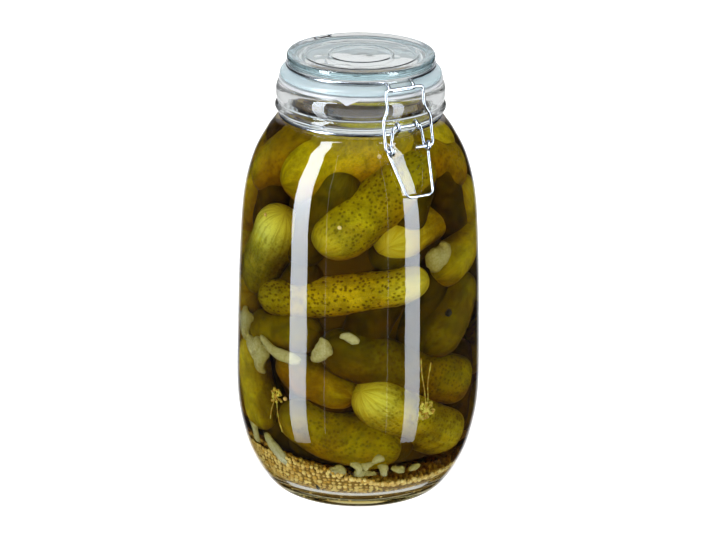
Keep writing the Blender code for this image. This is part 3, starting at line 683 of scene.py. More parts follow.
def absorb_light(tree, tint, density):
    absorb = node(tree, "ShaderNodeVolumeAbsorption", {"Color": colour(*tint), "Density": density})
    set_inputs(tree, tree.nodes["Material Output"], {"Volume": absorb.outputs[0]})


def glass_material(name, ior, tint, wave_scale, wave, frosted=False):
    """Pressed soda-lime glass, faintly tinted, with slow waves. Frosted glass is duller low down
    and greener where it is thick."""
    material, tree, shader = clear_material(name, ior, tint)
    place = object_place(tree)
    waves = noisy(tree, place, wave_scale, 1.0)
    set_inputs(tree, shader, {"Normal": bumped(tree, waves, wave, WAVE_DEPTH)})
    if frosted:
        frost = ranged(tree, height_of(tree, place), FROST_HEIGHT + FROST_FADE,
                       FROST_HEIGHT - FROST_FADE)
        set_inputs(tree, shader, {
            "Roughness": ranged(tree, frost, 0.0, 1.0, 0.0, FROST_ROUGHNESS),
            "Transmission Weight": ranged(tree, frost, 0.0, 1.0, 1.0, FROST_TRANSMISSION),
            "Base Color": mixed(tree, frost, colour(*tint), FROST_COLOUR),
        })
        absorb_light(tree, GLASS_DEPTH_TINT, GLASS_DENSITY)
    return material


def brine_material():
    """Pickling brine: olive-gold, darker where there is more of it. The wetted glass bends the
    light for it, so its own index is 1."""
    material, tree, _ = clear_material("pickling_brine", 1.0)
    absorb_light(tree, BRINE_TINT, BRINE_DENSITY)
    return material


def steel_material():
    """Galvanised wire: bright, with a faint drawn grain and duller patches."""
    material, tree, shader = new_material("galvanised_steel")
    place = object_place(tree)
    patches = noisy(tree, place, 260.0, 3.0)
    grain = noisy(tree, place, 2600.0)
    set_inputs(tree, shader, {
        "Base Color": mixed(tree, patches, colour(0.42, 0.46, 0.52), colour(0.58, 0.61, 0.65)),
        "Metallic": 1.0,
        "Roughness": ranged(tree, patches, 0.3, 0.7, 0.12, 0.24),
        "Normal": bumped(tree, grain, 0.15, 0.0002),
    })
    return material


def two_tone_material(name):
    """A skin of two colours, with what SKINS gives it."""
    scale, detail, edges, low, high, finish, bumps = SKINS[name]
    material, tree, shader = new_material(name)
    place = object_place(tree)
    noise = noisy(tree, place, scale, detail)
    share = ranged(tree, noise, *edges) if edges else noise
    set_inputs(tree, shader, {"Base Color": mixed(tree, share, colour(*low), colour(*high)),
                              **finish})
    if bumps:
        bump_scale, strength, depth = bumps
        relief = noise if bump_scale == scale else noisy(tree, place, bump_scale)
        set_inputs(tree, shader, {"Normal": bumped(tree, relief, strength, depth)})
    return material


def gherkin_material():
    """Pickled skin: olive to amber, pale at the tip, with dark specks and faint long streaks, made
    darker in places and lighter in others by each gherkin's painted light and shade.
    """
    material, tree, shader = new_material("pickled_gherkin_skin")
    skin = attribute(tree, "skin", "Vector")
    brown, pale, tip, specks, shade = [
        attribute(tree, name) for name in ("brown", "pale", "tip", "specks", "shade")]
    stretched = node(tree, "ShaderNodeMapping", {"Vector": skin, "Scale": (1.0, 1.0, 0.16)},
                     vector_type="POINT").outputs[0]
    broad = noisy(tree, skin, 55.0, 3.0, 0.6)
    streaks = noisy(tree, stretched, 420.0, 3.0, 0.6)
    fine = noisy(tree, skin, 1500.0, 2.0, 0.7)
    light = colour(0.9, 0.93, 0.16)

    # brown holds each gherkin's own amber and its painted amber underside
    hue = maths(tree, "ADD", brown, ranged(tree, broad, 0.3, 0.7, -0.3, 0.3), clamp=True)
    tone = mixed(tree, hue, colour(0.46, 0.41, 0.001), colour(0.44, 0.25, 0.001))
    streaky = ranged(tree, streaks, 0.35, 0.7, 0.25, 1.0)
    tone = mixed(tree, product(tree, pale, streaky, 0.3), tone, light)

    patches = ranged(tree, noisy(tree, skin, 95.0, 2.0, 0.55, 0.6), 0.32, 0.68, 0.8, 1.36)
    # shade is painted light and shade: each gherkin's brightness along its length
    mottle = product(tree, ranged(tree, fine, 0.3, 0.75, 0.8, 1.14), patches, shade)
    grey = node(tree, "ShaderNodeCombineColor", {0: mottle, 1: mottle, 2: mottle}).outputs[0]
    tone = mixed(tree, 1.0, tone, grey, "MULTIPLY")
    glow = product(tree, tip, ranged(tree, streaks, 0.3, 0.6, 0.45, 1.0), pale)
    tone = mixed(tree, glow, tone, light)

    jitter = node(tree, "ShaderNodeTexNoise", {"Vector": skin, "Scale": 900.0}).outputs["Color"]
    shift = vector_maths(tree, "SCALE", {0: jitter, "Scale": 0.0011})
    wobble = vector_maths(tree, "ADD", {0: skin, 1: shift})
    cells = node(tree, "ShaderNodeTexVoronoi",
                 {"Vector": wobble, "Scale": SPECK_SCALE, "Randomness": 0.85}).outputs["Distance"]
    speck = product(tree, ranged(tree, cells, 0.5, 0.18), specks)
    tone = mixed(tree, product(tree, speck, 0.78), tone, colour(0.085, 0.06, 0.001))

    relief = maths(tree, "SUBTRACT", maths(tree, "ADD", streaks, fine), product(tree, speck, 1.5))
    set_inputs(tree, shader, {"Base Color": tone, "Roughness": 0.38, "Specular IOR Level": 0.02,
                              "Normal": bumped(tree, relief, 0.25, 0.0006)})
    return material


def seed_material():
    """Yellow mustard seeds, each its own shade of tan."""
    material, tree, shader = new_material("mustard_seed_skin")
    shade = mixed(tree, attribute(tree, "tone"), colour(0.66, 0.4, 0.08), colour(1.0, 0.84, 0.36))
    dull = noisy(tree, object_place(tree), 900.0)
    dulled = ranged(tree, dull, 0.4, 0.8, 0.0, 0.4)
    set_inputs(tree, shader, {
        "Base Color": mixed(tree, dulled, shade, colour(0.55, 0.34, 0.12)),
        "Roughness": 0.45,
        "Specular IOR Level": 0.2,
        "Normal": bumped(tree, dull, 0.2, 0.0003),
    })
    return material


def floor_material():
    """A pale table with painted shade where it shows through the clear glass, so that the glass keeps
    its edges, and a painted pool of light under the jar.
    """
    material, tree, shader = new_material("pale_floor")
    rays = node(tree, "ShaderNodeLightPath").outputs
    direct = maths(tree, "SUBTRACT", 1.0, rays["Diffuse Depth"], clamp=True)
    through_glass = product(tree, rays["Is Transmission Ray"], direct)
    from_axis = vector_maths(tree, "LENGTH", {0: object_place(tree)}, "Value")
    # painted light: a glow on the table under the jar
    under_jar = ranged(tree, from_axis, *UNDER_JAR_EDGES, 0.0, UNDER_JAR_GLOW)
    glow = ranged(tree, through_glass, 0.0, 1.0, *FLOOR_GLOW)
    set_inputs(tree, shader, {
        # painted shade: a darker colour and weaker glow where the table shows through the clear glass
        "Base Color": mixed(tree, through_glass, colour(*FLOOR_SEEN), colour(*FLOOR_THROUGH_GLASS)),
        "Emission Color": colour(1.0, 1.0, 1.0),
        "Emission Strength": maths(tree, "ADD", glow, under_jar),
        "Roughness": 0.9,
        "Specular IOR Level": 0.0,
    })
    return material


# ---- glass and seal --------------------------------------------------------------------------------

def add_jar(material, wetted):
    """The jar, with its own finish on the inner faces that the brine wets."""
    foot = bent(vectors(((0.0, FOOT_HOLLOW), (0.9 * FOOT_RADIUS, FOOT_HOLLOW), (FOOT_RADIUS, 0.0),
                         BODY_OUTLINE[0])), *FOOT_BEND)[:-1]
    outside = smooth_curve(BODY_OUTLINE)[:-1] + bent(vectors(NECK_OUTLINE), *NECK_BEND)
    mouth = bent(vectors(MOUTH_OUTLINE) + INNER_WALL[:1], *MOUTH_BEND)[:-1]
    floor = bent(INNER_WALL[-1:] + vectors(FLOOR_OUTLINE), *HEEL_BEND)[1:]
    outline = foot + outside + mouth + INNER_WALL + floor
    jar = make_object("jar_glass_clear", turned(outline), material, GLASS_SHARP)
    jar.data.materials.append(wetted)
    for face in jar.data.polygons:
        place = face.center
        inner = hypot(place.x, place.y) < inside_radius(place.z) + WETTED_SHARE * WALL
        if inner and WETTED_LOW < place.z < BRINE_LEVEL:
            face.material_index = 1
    return jar


def add_lid(material):
    outline = vectors(LID_UNDERSIDE + LID_FLANGE + LID_GROOVE + LID_TOP)
    for ridge in LID_RIDGES:
        for step, rise in ((1, 0.0), (0, 1.0), (-1, 0.0)):
            height = LID_FACE + rise * RIDGE_HEIGHT
            outline.append(Vector((ridge + step * RIDGE_HALF_WIDTH, height)))
    outline.append(Vector((0.0, LID_FACE)))
    return make_object("lid_glass_clear", turned(bent(outline, *EDGE_BEND)), material, GLASS_SHARP)


def add_seal(material):
    middle = (SEAL_INNER, (SEAL_BOTTOM + SEAL_TOP) / 2)
    outline = vectors((middle, (SEAL_INNER, SEAL_BOTTOM), (SEAL_OUTER, SEAL_BOTTOM),
                       (SEAL_OUTER, SEAL_TOP), (SEAL_INNER, SEAL_TOP), middle))
    ring = make_object("ring", turned(bent(outline, *EDGE_BEND)[:-1], SEAL_SEGMENTS, closed=True))
    return joined("seal_silicone", [ring, pull_tab()], material)


def pull_tab():
    """A flat pointed tongue that leaves the sealing ring and droops over the rim."""
    middle = (SEAL_BOTTOM + SEAL_TOP) / 2
    turn = Matrix.Rotation(radians(TAB_BEARING), 4, "Z")
    rings = []
    for row in range(TAB_ROWS + 1):
        share = row / TAB_ROWS
        reach = -TAB_ROOT + (TAB_REACH + TAB_ROOT) * share
        width = 1.0 if share < 0.3 else max(0.1, 1.0 - 1.15 * (share - 0.3) ** 0.9)
        droop = max(0.0, (share - 0.2) / 0.8) ** 1.3
        ring = []
        for k in range(TAB_SIDES):
            angle = 2 * pi * k / TAB_SIDES
            side = squarer(cos(angle), 0.45)
            level = 0.5 * squarer(sin(angle), 0.6)
            ring.append(turn @ Vector((side * width * TAB_HALF_WIDTH, -(SEAL_OUTER + reach),
                                       middle - droop * TAB_DROOP + level * TAB_THICKNESS)))
        rings.append(ring)
    return make_object("tab", lofted(rings, capped=True))


# ---- wires -----------------------------------------------------------------------------------------

def at_pivot(x, pivot):
    return Vector((x, pivot[0], pivot[1]))


def ring_points(radius, height, start, end):
    """Points on a level ring between two bearings."""
    count = max(2, round(abs(end - start) / RING_STEP))
    return [at_bearing(start + (end - start) * i / count, radius, height) for i in range(count + 1)]


def bearing_at(x, radius):
    return degrees(asin(x / radius))


def eye(x, pivot, start, sweep, drift=0.0):
    """Points of a wire eye round a pivot: angles from outward (-Y), positive over the top."""
    count = max(12, round(abs(sweep) / 12))
    points = []
    for i in range(count + 1):
        angle = radians(start + sweep * i / count)
        points.append(Vector((x + drift * i / count, pivot[0] - EYE_RADIUS * cos(angle),
                              pivot[1] + EYE_RADIUS * sin(angle))))
    return points


def mirrored(points):
    return [Vector((-p.x, p.y, p.z)) for p in reversed(points)]


def wire(name, path, material, closed=False):
    return make_object(name, swept(path, WIRE_RADIUS, WIRE_RADIUS, WIRE_SIDES, closed), material)


def add_neck_wire(material):
    """The wire round the neck: an eye at each end for the lever, a hinge bar at the back."""
    front = bearing_at(NECK_EYE_X, NECK_RING_RADIUS)
    back = 180.0 - bearing_at(HINGE_BAR_HALF, NECK_RING_RADIUS)
    loop = eye(NECK_EYE_X, LEVER_PIVOT, *NECK_EYE_TURN)[::-1]
    ring = ring_points(NECK_RING_RADIUS, NECK_RING_HEIGHT, front, back)
    stem = [loop[-1], at_pivot(NECK_EYE_X, NECK_STEM), ring[0]]
    tail = bent([ring[-1], at_pivot(HINGE_BAR_HALF, HINGE_TURN), at_pivot(HINGE_BAR_HALF, LID_HINGE),
                 at_pivot(0.0, LID_HINGE)])
    half = loop[:-1] + bent(stem)[:-1] + ring[:-1] + tail
    return wire("neck_wire_round", half + mirrored(half)[1:], material)


def add_lid_wire(material):
    """The wire round the lid: a tongue at the front, and two eyes on the hinge bar."""
    front = bearing_at(TONGUE_HALF, LID_RING_RADIUS)
    back = 180.0 - bearing_at(LID_EYE_X, LID_RING_RADIUS)
    ring = ring_points(LID_RING_RADIUS, LID_RING_HEIGHT, front, back)
    tongue = bent([at_pivot(0.0, TONGUE_END), at_pivot(TONGUE_HALF, TONGUE_END),
                   at_pivot(TONGUE_HALF, FLANGE_CREST), ring[0]])
    loop = eye(LID_EYE_X, LID_HINGE, *LID_EYE_TURN)
    tail = [ring[-1], at_pivot(LID_EYE_X, HINGE_CREST), at_pivot(LID_EYE_X, HINGE_DROP), loop[0]]
    half = tongue[:-1] + ring[:-1] + bent(tail)[:-1] + loop
    return wire("lid_wire_round", mirrored(half)[:-1] + half, material)


def add_lever(material):
    """The closed clasp lever: a pivot bar, a coil on each arm for the link, and a finger bar."""
    coil = eye(LEVER_COIL_INNER, LINK_PIVOT, *LEVER_COIL_TURN, LEVER_COIL_OUTER - LEVER_COIL_INNER)
    top = bent([at_pivot(0.0, LEVER_PIVOT), at_pivot(LEVER_TOP_HALF, LEVER_PIVOT), coil[0]],
               LEVER_TOP_BEND)
    bottom = bent([coil[-1], at_pivot(LEVER_END_HALF, LEVER_END), at_pivot(0.0, LEVER_END)],
                  LEVER_END_BEND)
    half = top[:-1] + coil[:-1] + bottom
    return wire("clasp_lever_round", half[1:] + mirrored(half)[1:], material, closed=True)


def add_link(material):
    """The link: pins through the lever's coils, legs, and a bar that hooks the lid's tongue."""
    foot = at_pivot(0.0, LINK_PIVOT)
    bar = at_pivot(0.0, LINK_BAR)
    corners = []
    for side, pin_end in zip((-1, 1), LINK_PIN_ENDS):
        leg = [foot + Vector((pin_end, 0.0, 0.0)), foot + Vector((side * LINK_FOOT_HALF, 0.0, 0.0))]
        for half, height in zip((LINK_FOOT_HALF, LINK_TOP_HALF), LINK_KNEE_HEIGHTS):
            share = (height - foot.z) / (bar.z - foot.z)
            leg.append(foot.lerp(bar, share) + Vector((side * half, 0.0, 0.0)))
        leg.append(bar + Vector((side * LINK_TOP_HALF, 0.0, 0.0)))
        corners.extend(leg if side < 0 else leg[::-1])
    return wire("clasp_link_round", bent(corners), material)


# ---- contents --------------------------------------------------------------------------------------

def pressed(places, low=HEAP_LOW, high=HEAP_HIGH, gap=PRESS_GAP):
    """Places moved inside the jar's inner face, as soft food lies against the glass."""
    places = places.copy()
    places[:, 2] = np.clip(places[:, 2], low, high)
    radius = np.hypot(places[:, 0], places[:, 1])
    limit = np.interp(places[:, 2], INNER_HEIGHTS, INNER_RADII) - gap
    places[:, :2] *= np.minimum(1.0, limit / np.maximum(radius, SMALL))[:, None]
    return places


def warts(draw, around, along, radius, length):
    """How strongly each skin point lies on one of the scattered warts, 0 to 1."""
    mask = np.zeros_like(around)
    for _ in range(int(2 * pi * radius * length / WART_AREA)):
        angle = draw.uniform(0, 2 * pi)
        place = draw.uniform(0.03, 0.97) * length
        size = draw.uniform(0.0012, 0.002)
        apart = np.abs((around - angle + pi) % (2 * pi) - pi) * radius
        distance = np.hypot(apart, 0.75 * (along - place))
        mask = np.maximum(mask, np.exp(-(distance / size) ** 2))
    return mask


def gherkin(number, row, sides, rings):
    """One gherkin's vertices, faces and skin attributes."""
    first, last, girth, bow, brown, specks, pale, blossom, *shades = row
    # shades: the painted light and shade at the start, the middle and the end
    shades = shades if len(shades) == 3 else shades * 3
    start, end = [p if isinstance(p, Vector) else inside_place(*p) for p in (first, last)]
    draw = random.Random(GHERKIN_DRAW + number)
    along = (end - start).normalized()
    start = start - END_REACH * girth * along
    end = end + END_REACH * girth * along
    length = (end - start).length
    middle = (start + end) / 2
    outward = Vector((middle.x, middle.y, 0.0))
    outward = (outward - outward.dot(along) * along).normalized()
    sideways = along.cross(outward)

    steps = np.linspace(0.012, 0.988, rings)
    t = 0.5 - 0.5 * np.cos(pi * steps)
    angles = np.arange(sides) * 2 * pi / sides
    t, angles = np.meshgrid(t, angles, indexing="ij")
    bend = 4 * t * (1 - t) * bow
    profile = (1 - np.abs(2 * t - 1) ** (BLUNTNESS * 2 * length / girth)) ** 0.5
    lobes = 1 + 0.022 * np.cos(3 * angles + draw.uniform(0, 6)) \
        + 0.008 * np.cos(9 * angles + draw.uniform(0, 6))
    waist = 1 + 0.035 * np.sin(2 * pi * (1.2 * t + draw.random())) \
        + 0.03 * np.sin(2 * pi * (2.3 * t + draw.random()) + angles)
    wart = warts(draw, angles, t * length, girth / 2, length)
    grown = girth / 2 * profile * lobes * waist + WART_HEIGHT * specks * wart * profile
    centre = np.array(start) + t[..., None] * np.array(end - start) \
        + bend[..., None] * np.array(outward)
    spokes = np.cos(angles)[..., None] * np.array(outward) \
        + np.sin(angles)[..., None] * np.array(sideways)
    places = centre + grown[..., None] * spokes
    places = pressed(np.concatenate([places.reshape(-1, 3), [np.array(start), np.array(end)]]))

    faces = []
    base, cap = rings * sides, (rings - 1) * sides
    for i in range(rings - 1):
        for k in range(sides):
            n = (k + 1) % sides
            faces.append((i * sides + k, i * sides + n, (i + 1) * sides + n, (i + 1) * sides + k))
    for k in range(sides):
        n = (k + 1) % sides
        faces.append((base, n, k))
        faces.append((base + 1, cap + k, cap + n))

    shift = 10.0 * number
    skin = np.stack([girth / 2 * np.cos(angles) + shift, girth / 2 * np.sin(angles), t * length],
                    axis=-1).reshape(-1, 3)
    from_tip = t if blossom == 0 else 1 - t
    tip = np.exp(-(from_tip * length / TIP_LENGTH) ** 2)
    tip_ends = [1.0, 0.0] if blossom == 0 else [0.0, 1.0]
    fade = specks * np.clip(from_tip * length / SPECK_FADE, 0.15, 1.0)
    # the gherkin's own brown plus painted light: undersides more amber and tops greener, as light falls
    # through the brine
    underside = brown - 0.5 * spokes[..., 2]
    return places, faces, {
        "skin": np.concatenate([skin, [(shift, 0.0, 0.0), (shift, 0.0, length)]]),
        "specks": np.concatenate([fade.ravel(), [0.0, 0.0]]),
        "tip": np.concatenate([tip.ravel(), tip_ends]),
        "brown": np.concatenate([underside.ravel(), [brown, brown]]),
        "pale": np.full(len(places), pale),
        # shade: painted light and shade, blended along the gherkin
        "shade": np.concatenate([np.interp(t.ravel(), (0.0, 0.5, 1.0), shades), shades[::2]]),
    }


def add_gherkin_piece(name, rows, first_number, sides, rings, material):
    """Several gherkins as one piece."""
    places, faces, marks = [], [], {}
    offset = 0
    for i, row in enumerate(rows):
        spots, quads, values = gherkin(first_number + i, row, sides, rings)
        places.append(spots)
        faces += [tuple(v + offset for v in face) for face in quads]
        for key, value in values.items():
            marks.setdefault(key, []).append(value)
        offset += len(spots)
    return array_object(name, places, faces, marks, material)


def inner_rows():
    """The gherkins behind the outer layer, which show in its gaps, darkened with painted shade."""
    draw = random.Random(INNER_DRAW)
    rows = []
    for level, height in enumerate(INNER_LEVELS):
        for i in range(INNER_LAYER):
            bearing = 360.0 * (i + 0.5 * level) / INNER_LAYER + draw.uniform(-8, 8)
            lean = draw.uniform(-0.5, 0.5)
            middle = at_bearing(bearing, INNER_RADIUS, height)
            level_way = at_bearing(bearing + 90, 1.0, 0.0)
            way = (cos(lean) * UP + sin(lean) * level_way) * INNER_HALF
            rows.append((middle - way, middle + way, INNER_GIRTH, INNER_BOW,
                         draw.uniform(0.4, 0.9), 0.3, 0.05, i % 2, INNER_SHADE))
    return rows


def add_core(material):
    return make_object("heap_core", turned(smooth_curve(CORE_OUTLINE), CORE_SEGMENTS), material)


def onion_piece(number, row):
    """A soft piece of an onion's layer, curled, with lengthwise ridges, lying near the glass."""
    bearing, depth, height, length, half_width, half_depth, tilt, curl = row
    draw = random.Random(ONION_DRAW + number)
    centre = inside_place(bearing, depth, height)
    outward, level = facing(centre)
    lean = radians(tilt)
    along = cos(lean) * level + sin(lean) * UP
    rise = outward.cross(along)
    phases = [draw.uniform(0, 6) for _ in range(4)]
    rings = []
    for i in range(ONION_RINGS):
        t = 2 * (i + 0.5) / ONION_RINGS - 1
        middle = centre + 0.5 * t * length * along + (1 - t * t) * curl * rise \
            - 0.3 * t * t * half_width * outward
        width = half_width * (1 - abs(t) ** 4.5) ** 0.5 * (
            1 + 0.16 * sin(3.1 * t + phases[0]) + 0.05 * sin(9.7 * t + phases[2]))
        shift = 0.12 * half_width * sin(4.3 * t + phases[1])
        ring = []
        for k in range(ONION_SIDES):
            angle = 2 * pi * k / ONION_SIDES
            across = squarer(cos(angle), 0.8)
            up = squarer(sin(angle), 0.7)
            ridge = 1 + 0.05 * sin(7 * across + phases[2]) + 0.04 * sin(9 * t + phases[3])
            thick = half_depth * (1 - abs(t) ** 5) ** 0.5 * ridge
            cup = -0.35 * half_width * across * across
            ring.append(middle + (across * width + shift) * rise + (up * thick + cup) * outward)
        rings.append(ring)
    bm = lofted(rings, capped=True)
    places = pressed(np.array([v.co for v in bm.verts]), FLOOR_OUTLINE[0][1])
    for vert, place in zip(bm.verts, places):
        vert.co = place
    return make_object("onion", bm)


def ball(place, radius, detail):
    bm = bmesh.new()
    bmesh.ops.create_icosphere(bm, subdivisions=detail, radius=radius,
                               matrix=Matrix.Translation(place))
    return make_object("ball", bm, sharp=None)


def peppercorn(number, row):
    """A small wrinkled ball."""
    bearing, depth, height, radius = row
    centre = inside_place(bearing, depth, height)
    item = ball(centre, radius, 4)
    draw = random.Random(PEPPER_DRAW + number)
    phases = [draw.uniform(0, 6) for _ in range(3)]
    for vert in item.data.vertices:
        way = (vert.co - centre).normalized()
        dent = sum(sin(5.0 * way[k] + 4.0 * way[k - 1] + phases[k]) for k in range(3))
        vert.co = centre + radius * (1 + 0.045 * dent) * way
    return item


def bed_top(bearing, radius):
    """Height of the seed bed at a place, in the jar's own terms."""
    toward_heap = radius / BED_REACH * cos(radians(bearing - BED_HIGH_BEARING))
    return BED_LOW + BED_RISE * max(0.0, toward_heap) ** BED_CURVE


def seed_places():
    """Places for the seeds that show: against the glass, on top of the bed, and strays."""
    draw = random.Random(SEED_PLACE_DRAW)
    places = []
    height = FLOOR_OUTLINE[-2][1] + FIRST_LAYER_LIFT
    layer = 0
    while height < BED_LOW + BED_RISE:
        radius = inside_radius(height - SEED_RADIUS) - SEED_RADIUS - SEED_GAP
        count = int(2 * pi * radius / SEED_STEP)
        for i in range(count):
            bearing = 360.0 * (i + 0.5 * (layer % 2) + draw.uniform(-0.25, 0.25)) / count
            place = at_bearing(bearing, radius - draw.uniform(0.0, 0.0008),
                               height + draw.uniform(-0.0005, 0.0005))
            if height < bed_top(bearing, radius) + SEED_COVER:
                places.append(place)
        height += SEED_LAYER
        layer += 1
    for i in range(TOP_SEEDS):
        bearing = GOLDEN_TURN * i
        radius = TOP_REACH * sqrt((i + 0.5) / TOP_SEEDS)
        height = bed_top(bearing, radius) + TOP_LIFT + draw.uniform(-0.0008, 0.0014)
        radius = min(radius, inside_radius(height) - TOP_INSET)
        places.append(at_bearing(bearing, radius, height))
    return places + [inside_place(bearing, STRAY_DEPTH, height) for bearing, height in STRAY_SEEDS]


def add_seeds(material):
    """All the seeds as one mesh, each a turned and scaled copy of a small ball."""
    draw = random.Random(SEED_TURN_DRAW)
    pattern = bmesh.new()
    bmesh.ops.create_icosphere(pattern, subdivisions=2, radius=1.0)
    ball_places = np.array([v.co for v in pattern.verts])
    ball_faces = np.array([[v.index for v in f.verts] for f in pattern.faces])
    pattern.free()
    places, faces, shades = [], [], []
    for number, place in enumerate(seed_places()):
        turn = Matrix.Rotation(draw.uniform(0, 6), 3, "Z") @ Matrix.Rotation(draw.uniform(0, 6), 3, "X")
        stretch = np.array([draw.uniform(0.92, 1.08) for _ in range(3)])
        size = SEED_RADIUS * draw.uniform(0.85, 1.12)
        places.append(size * (ball_places * stretch) @ np.array(turn).T + np.array(place))
        faces.append(ball_faces + number * len(ball_places))
        shades.append(np.full(len(ball_places), draw.random()))
    return array_object("mustard_seeds_loose", places, np.concatenate(faces).tolist(),
                        {"tone": shades}, material)


def add_bed(material):
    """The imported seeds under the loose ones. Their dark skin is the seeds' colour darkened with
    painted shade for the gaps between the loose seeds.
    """
    bearings = [360.0 * i / BED_SEGMENTS for i in range(BED_SEGMENTS)]
    rings = [[(0.0, 0.0, FLOOR_OUTLINE[-1][1] + BED_LIFT)]]
    for level in range(len(FLOOR_OUTLINE) - 2, -1, -1):
        ring = []
        for bearing in bearings:
            highest = bed_top(bearing, BED_REACH) - 2 * BED_LIFT + BED_STEP * (1 - level)
            height = min(FLOOR_OUTLINE[level][1] + BED_LIFT, highest)
            radius = min(FLOOR_OUTLINE[level][0], inside_radius(height)) - BED_INSET
            ring.append(at_bearing(bearing, radius, height))
        rings.append(ring)
    for share in BED_SHARES:
        ring = []
        for bearing in bearings if share else bearings[:1]:
            height = bed_top(bearing, share * BED_REACH) - BED_DROP
            radius = min(share * BED_REACH * 1.1, inside_radius(height) - BED_TOP_INSET)
            ring.append(at_bearing(bearing, radius, height))
        rings.append(ring)
    return make_object("seed_bed", lofted(rings), material)


def tube(path, radius, sides=6):
    """A thin tapering stalk as an object."""
    return make_object("stalk", swept(path, radius, radius, sides,
                                      taper=lambda share: 1.0 - 0.5 * share))


def dill_sprig(number, row):
    """A dill stalk and, where it has one, its flower head of rays with seeds."""
    stem, rays, reach = row
    draw = random.Random(DILL_DRAW + number)
    points = smooth_curve([inside_place(*p) for p in stem])
    parts = [tube(points, STALK_RADIUS)]
    crown = points[-1]
    outward, level = facing(crown)
    for i in range(rays):
        angle = 2 * pi * (i + draw.uniform(-0.3, 0.3)) / rays
        way = cos(angle) * level + sin(angle) * UP - draw.uniform(0.0, 0.35) * outward
        tip = crown + reach * draw.uniform(0.65, 1.0) * way
        bulge = crown.lerp(tip, 0.5) + 0.12 * reach * outward
        parts.append(tube(smooth_curve([crown, bulge, tip], RAY_STEPS), RAY_RADIUS))
        for _ in range(DILL_SEEDS):
            spread = DILL_SPREAD * Vector([draw.uniform(-1, 1) for _ in range(3)])
            parts.append(ball(tip + spread, draw.uniform(0.0007, 0.001), 2))
    return parts


def add_dill(material):
    parts = []
    for number, row in enumerate(DILL):
        parts += dill_sprig(number, row)
    item = joined("dill_sprigs", parts, material)
    places = pressed(np.array([v.co for v in item.data.vertices]), gap=DILL_GAP)
    item.data.vertices.foreach_set("co", places.ravel())
    return item


def brine_top_outline(reach, level):
    """The brine's top from the axis to where it climbs the glass."""
    return vectors(((0.0, level), (reach - MENISCUS_FOOT, level),
                    (reach - MENISCUS_KNEE, level + 0.25 * MENISCUS), (reach, level + MENISCUS)))


def add_brine(material):
    """The brine round the contents: its side reaches just into the glass wall."""
    rim = Vector((inside_radius(BRINE_LEVEL) + BRINE_OVERLAP, BRINE_LEVEL))
    side = beside([p for p in INNER_FACE[1:] if p.y < BRINE_LEVEL], BRINE_OVERLAP)
    side[-1].x = 0.0
    outline = brine_top_outline(rim.x, BRINE_LEVEL) + side
    return make_object("brine", turned(outline), material, GLASS_SHARP)


def add_brine_surface(top_finish, under_finish):
    """The brine's top, a skin that bends light once: its underside is optically nothing."""
    reach = inside_radius(BRINE_LEVEL) + 0.5 * BRINE_OVERLAP
    top = brine_top_outline(reach, BRINE_LEVEL + SURFACE_LIFT)
    under = [Vector((p.x, p.y - 0.5 * SURFACE_LIFT)) for p in reversed(top)]
    outline = bent(top, *SURFACE_BEND) + bent(under, *SURFACE_BEND)
    skin = make_object("brine_top", turned(outline), top_finish, GLASS_SHARP)
    skin.data.materials.append(under_finish)
    for face in skin.data.polygons:
        if face.normal.z < 0.0:
            face.material_index = 1
    return skin


# ---- stage -----------------------------------------------------------------------------------------

def look_at(item, target):
    item.rotation_euler = (target - item.location).to_track_quat("-Z", "Y").to_euler()


def toward(bearing, elevation):
    """The direction to a bearing and an elevation, in degrees, as the camera's are given."""
    flat = at_bearing(bearing, cos(radians(elevation)), 0.0)
    return flat + Vector((0.0, 0.0, sin(radians(elevation))))


def add_camera():
    data = bpy.data.cameras.new("camera")
    data.sensor_width = SENSOR
    data.lens = FOCAL_PIXELS / FRAME_WIDTH * SENSOR
    data.clip_start = 0.05
    data.clip_end = 50.0
    camera = placed("camera", data)
    out = toward(CAMERA_BEARING, CAMERA_ELEVATION)
    right = UP.cross(out).normalized()
    up = out.cross(right)
    roll = radians(CAMERA_ROLL)
    camera_right = cos(roll) * right + sin(roll) * up
    centre = Vector(CAMERA_AIM)
    place = centre + CAMERA_DISTANCE * out
    aim = centre + AIM_RIGHT * right + AIM_UP * up
    out = (place - aim).normalized()
    camera_right = (camera_right - camera_right.dot(out) * out).normalized()
    turn = Matrix((camera_right, out.cross(camera_right), out)).transposed().to_4x4()
    camera.matrix_world = Matrix.Translation(place) @ turn
    bpy.context.scene.camera = camera


def add_strip(name, bearing, low, high, width, power_per_area, fade):
    """A tall strip softbox that only shows as a reflection, dimmer towards its foot."""
    data = bpy.data.lights.new(name, "AREA")
    data.shape = "RECTANGLE"
    data.size = width
    data.size_y = high - low
    data.energy = power_per_area * pi * width * (high - low)
    data.color = STRIP_COLOUR
    data.use_nodes = True
    tree = data.node_tree
    place = node(tree, "ShaderNodeNewGeometry").outputs["Position"]
    level = ranged(tree, height_of(tree, place), low, STRIP_FULL_HEIGHT, 1.0 - fade, 1.0, smooth=False)
    set_inputs(tree, tree.nodes["Emission"], {"Strength": level})
    light = placed(name, data)
    middle = (low + high) / 2
    light.location = at_bearing(CAMERA_BEARING + bearing, STRIP_DISTANCE, middle)
    look_at(light, middle * UP)
    light.visible_camera = False
    light.visible_diffuse = False
    light.visible_transmission = False
    light.visible_volume_scatter = False


def add_floor(material):
    bm = bmesh.new()
    bmesh.ops.create_circle(bm, cap_ends=True, radius=FLOOR_RADIUS, segments=FLOOR_SEGMENTS)
    floor = make_object("floor", bm, material)
    floor.location.z = -FLOOR_DROP
    floor.visible_glossy = False


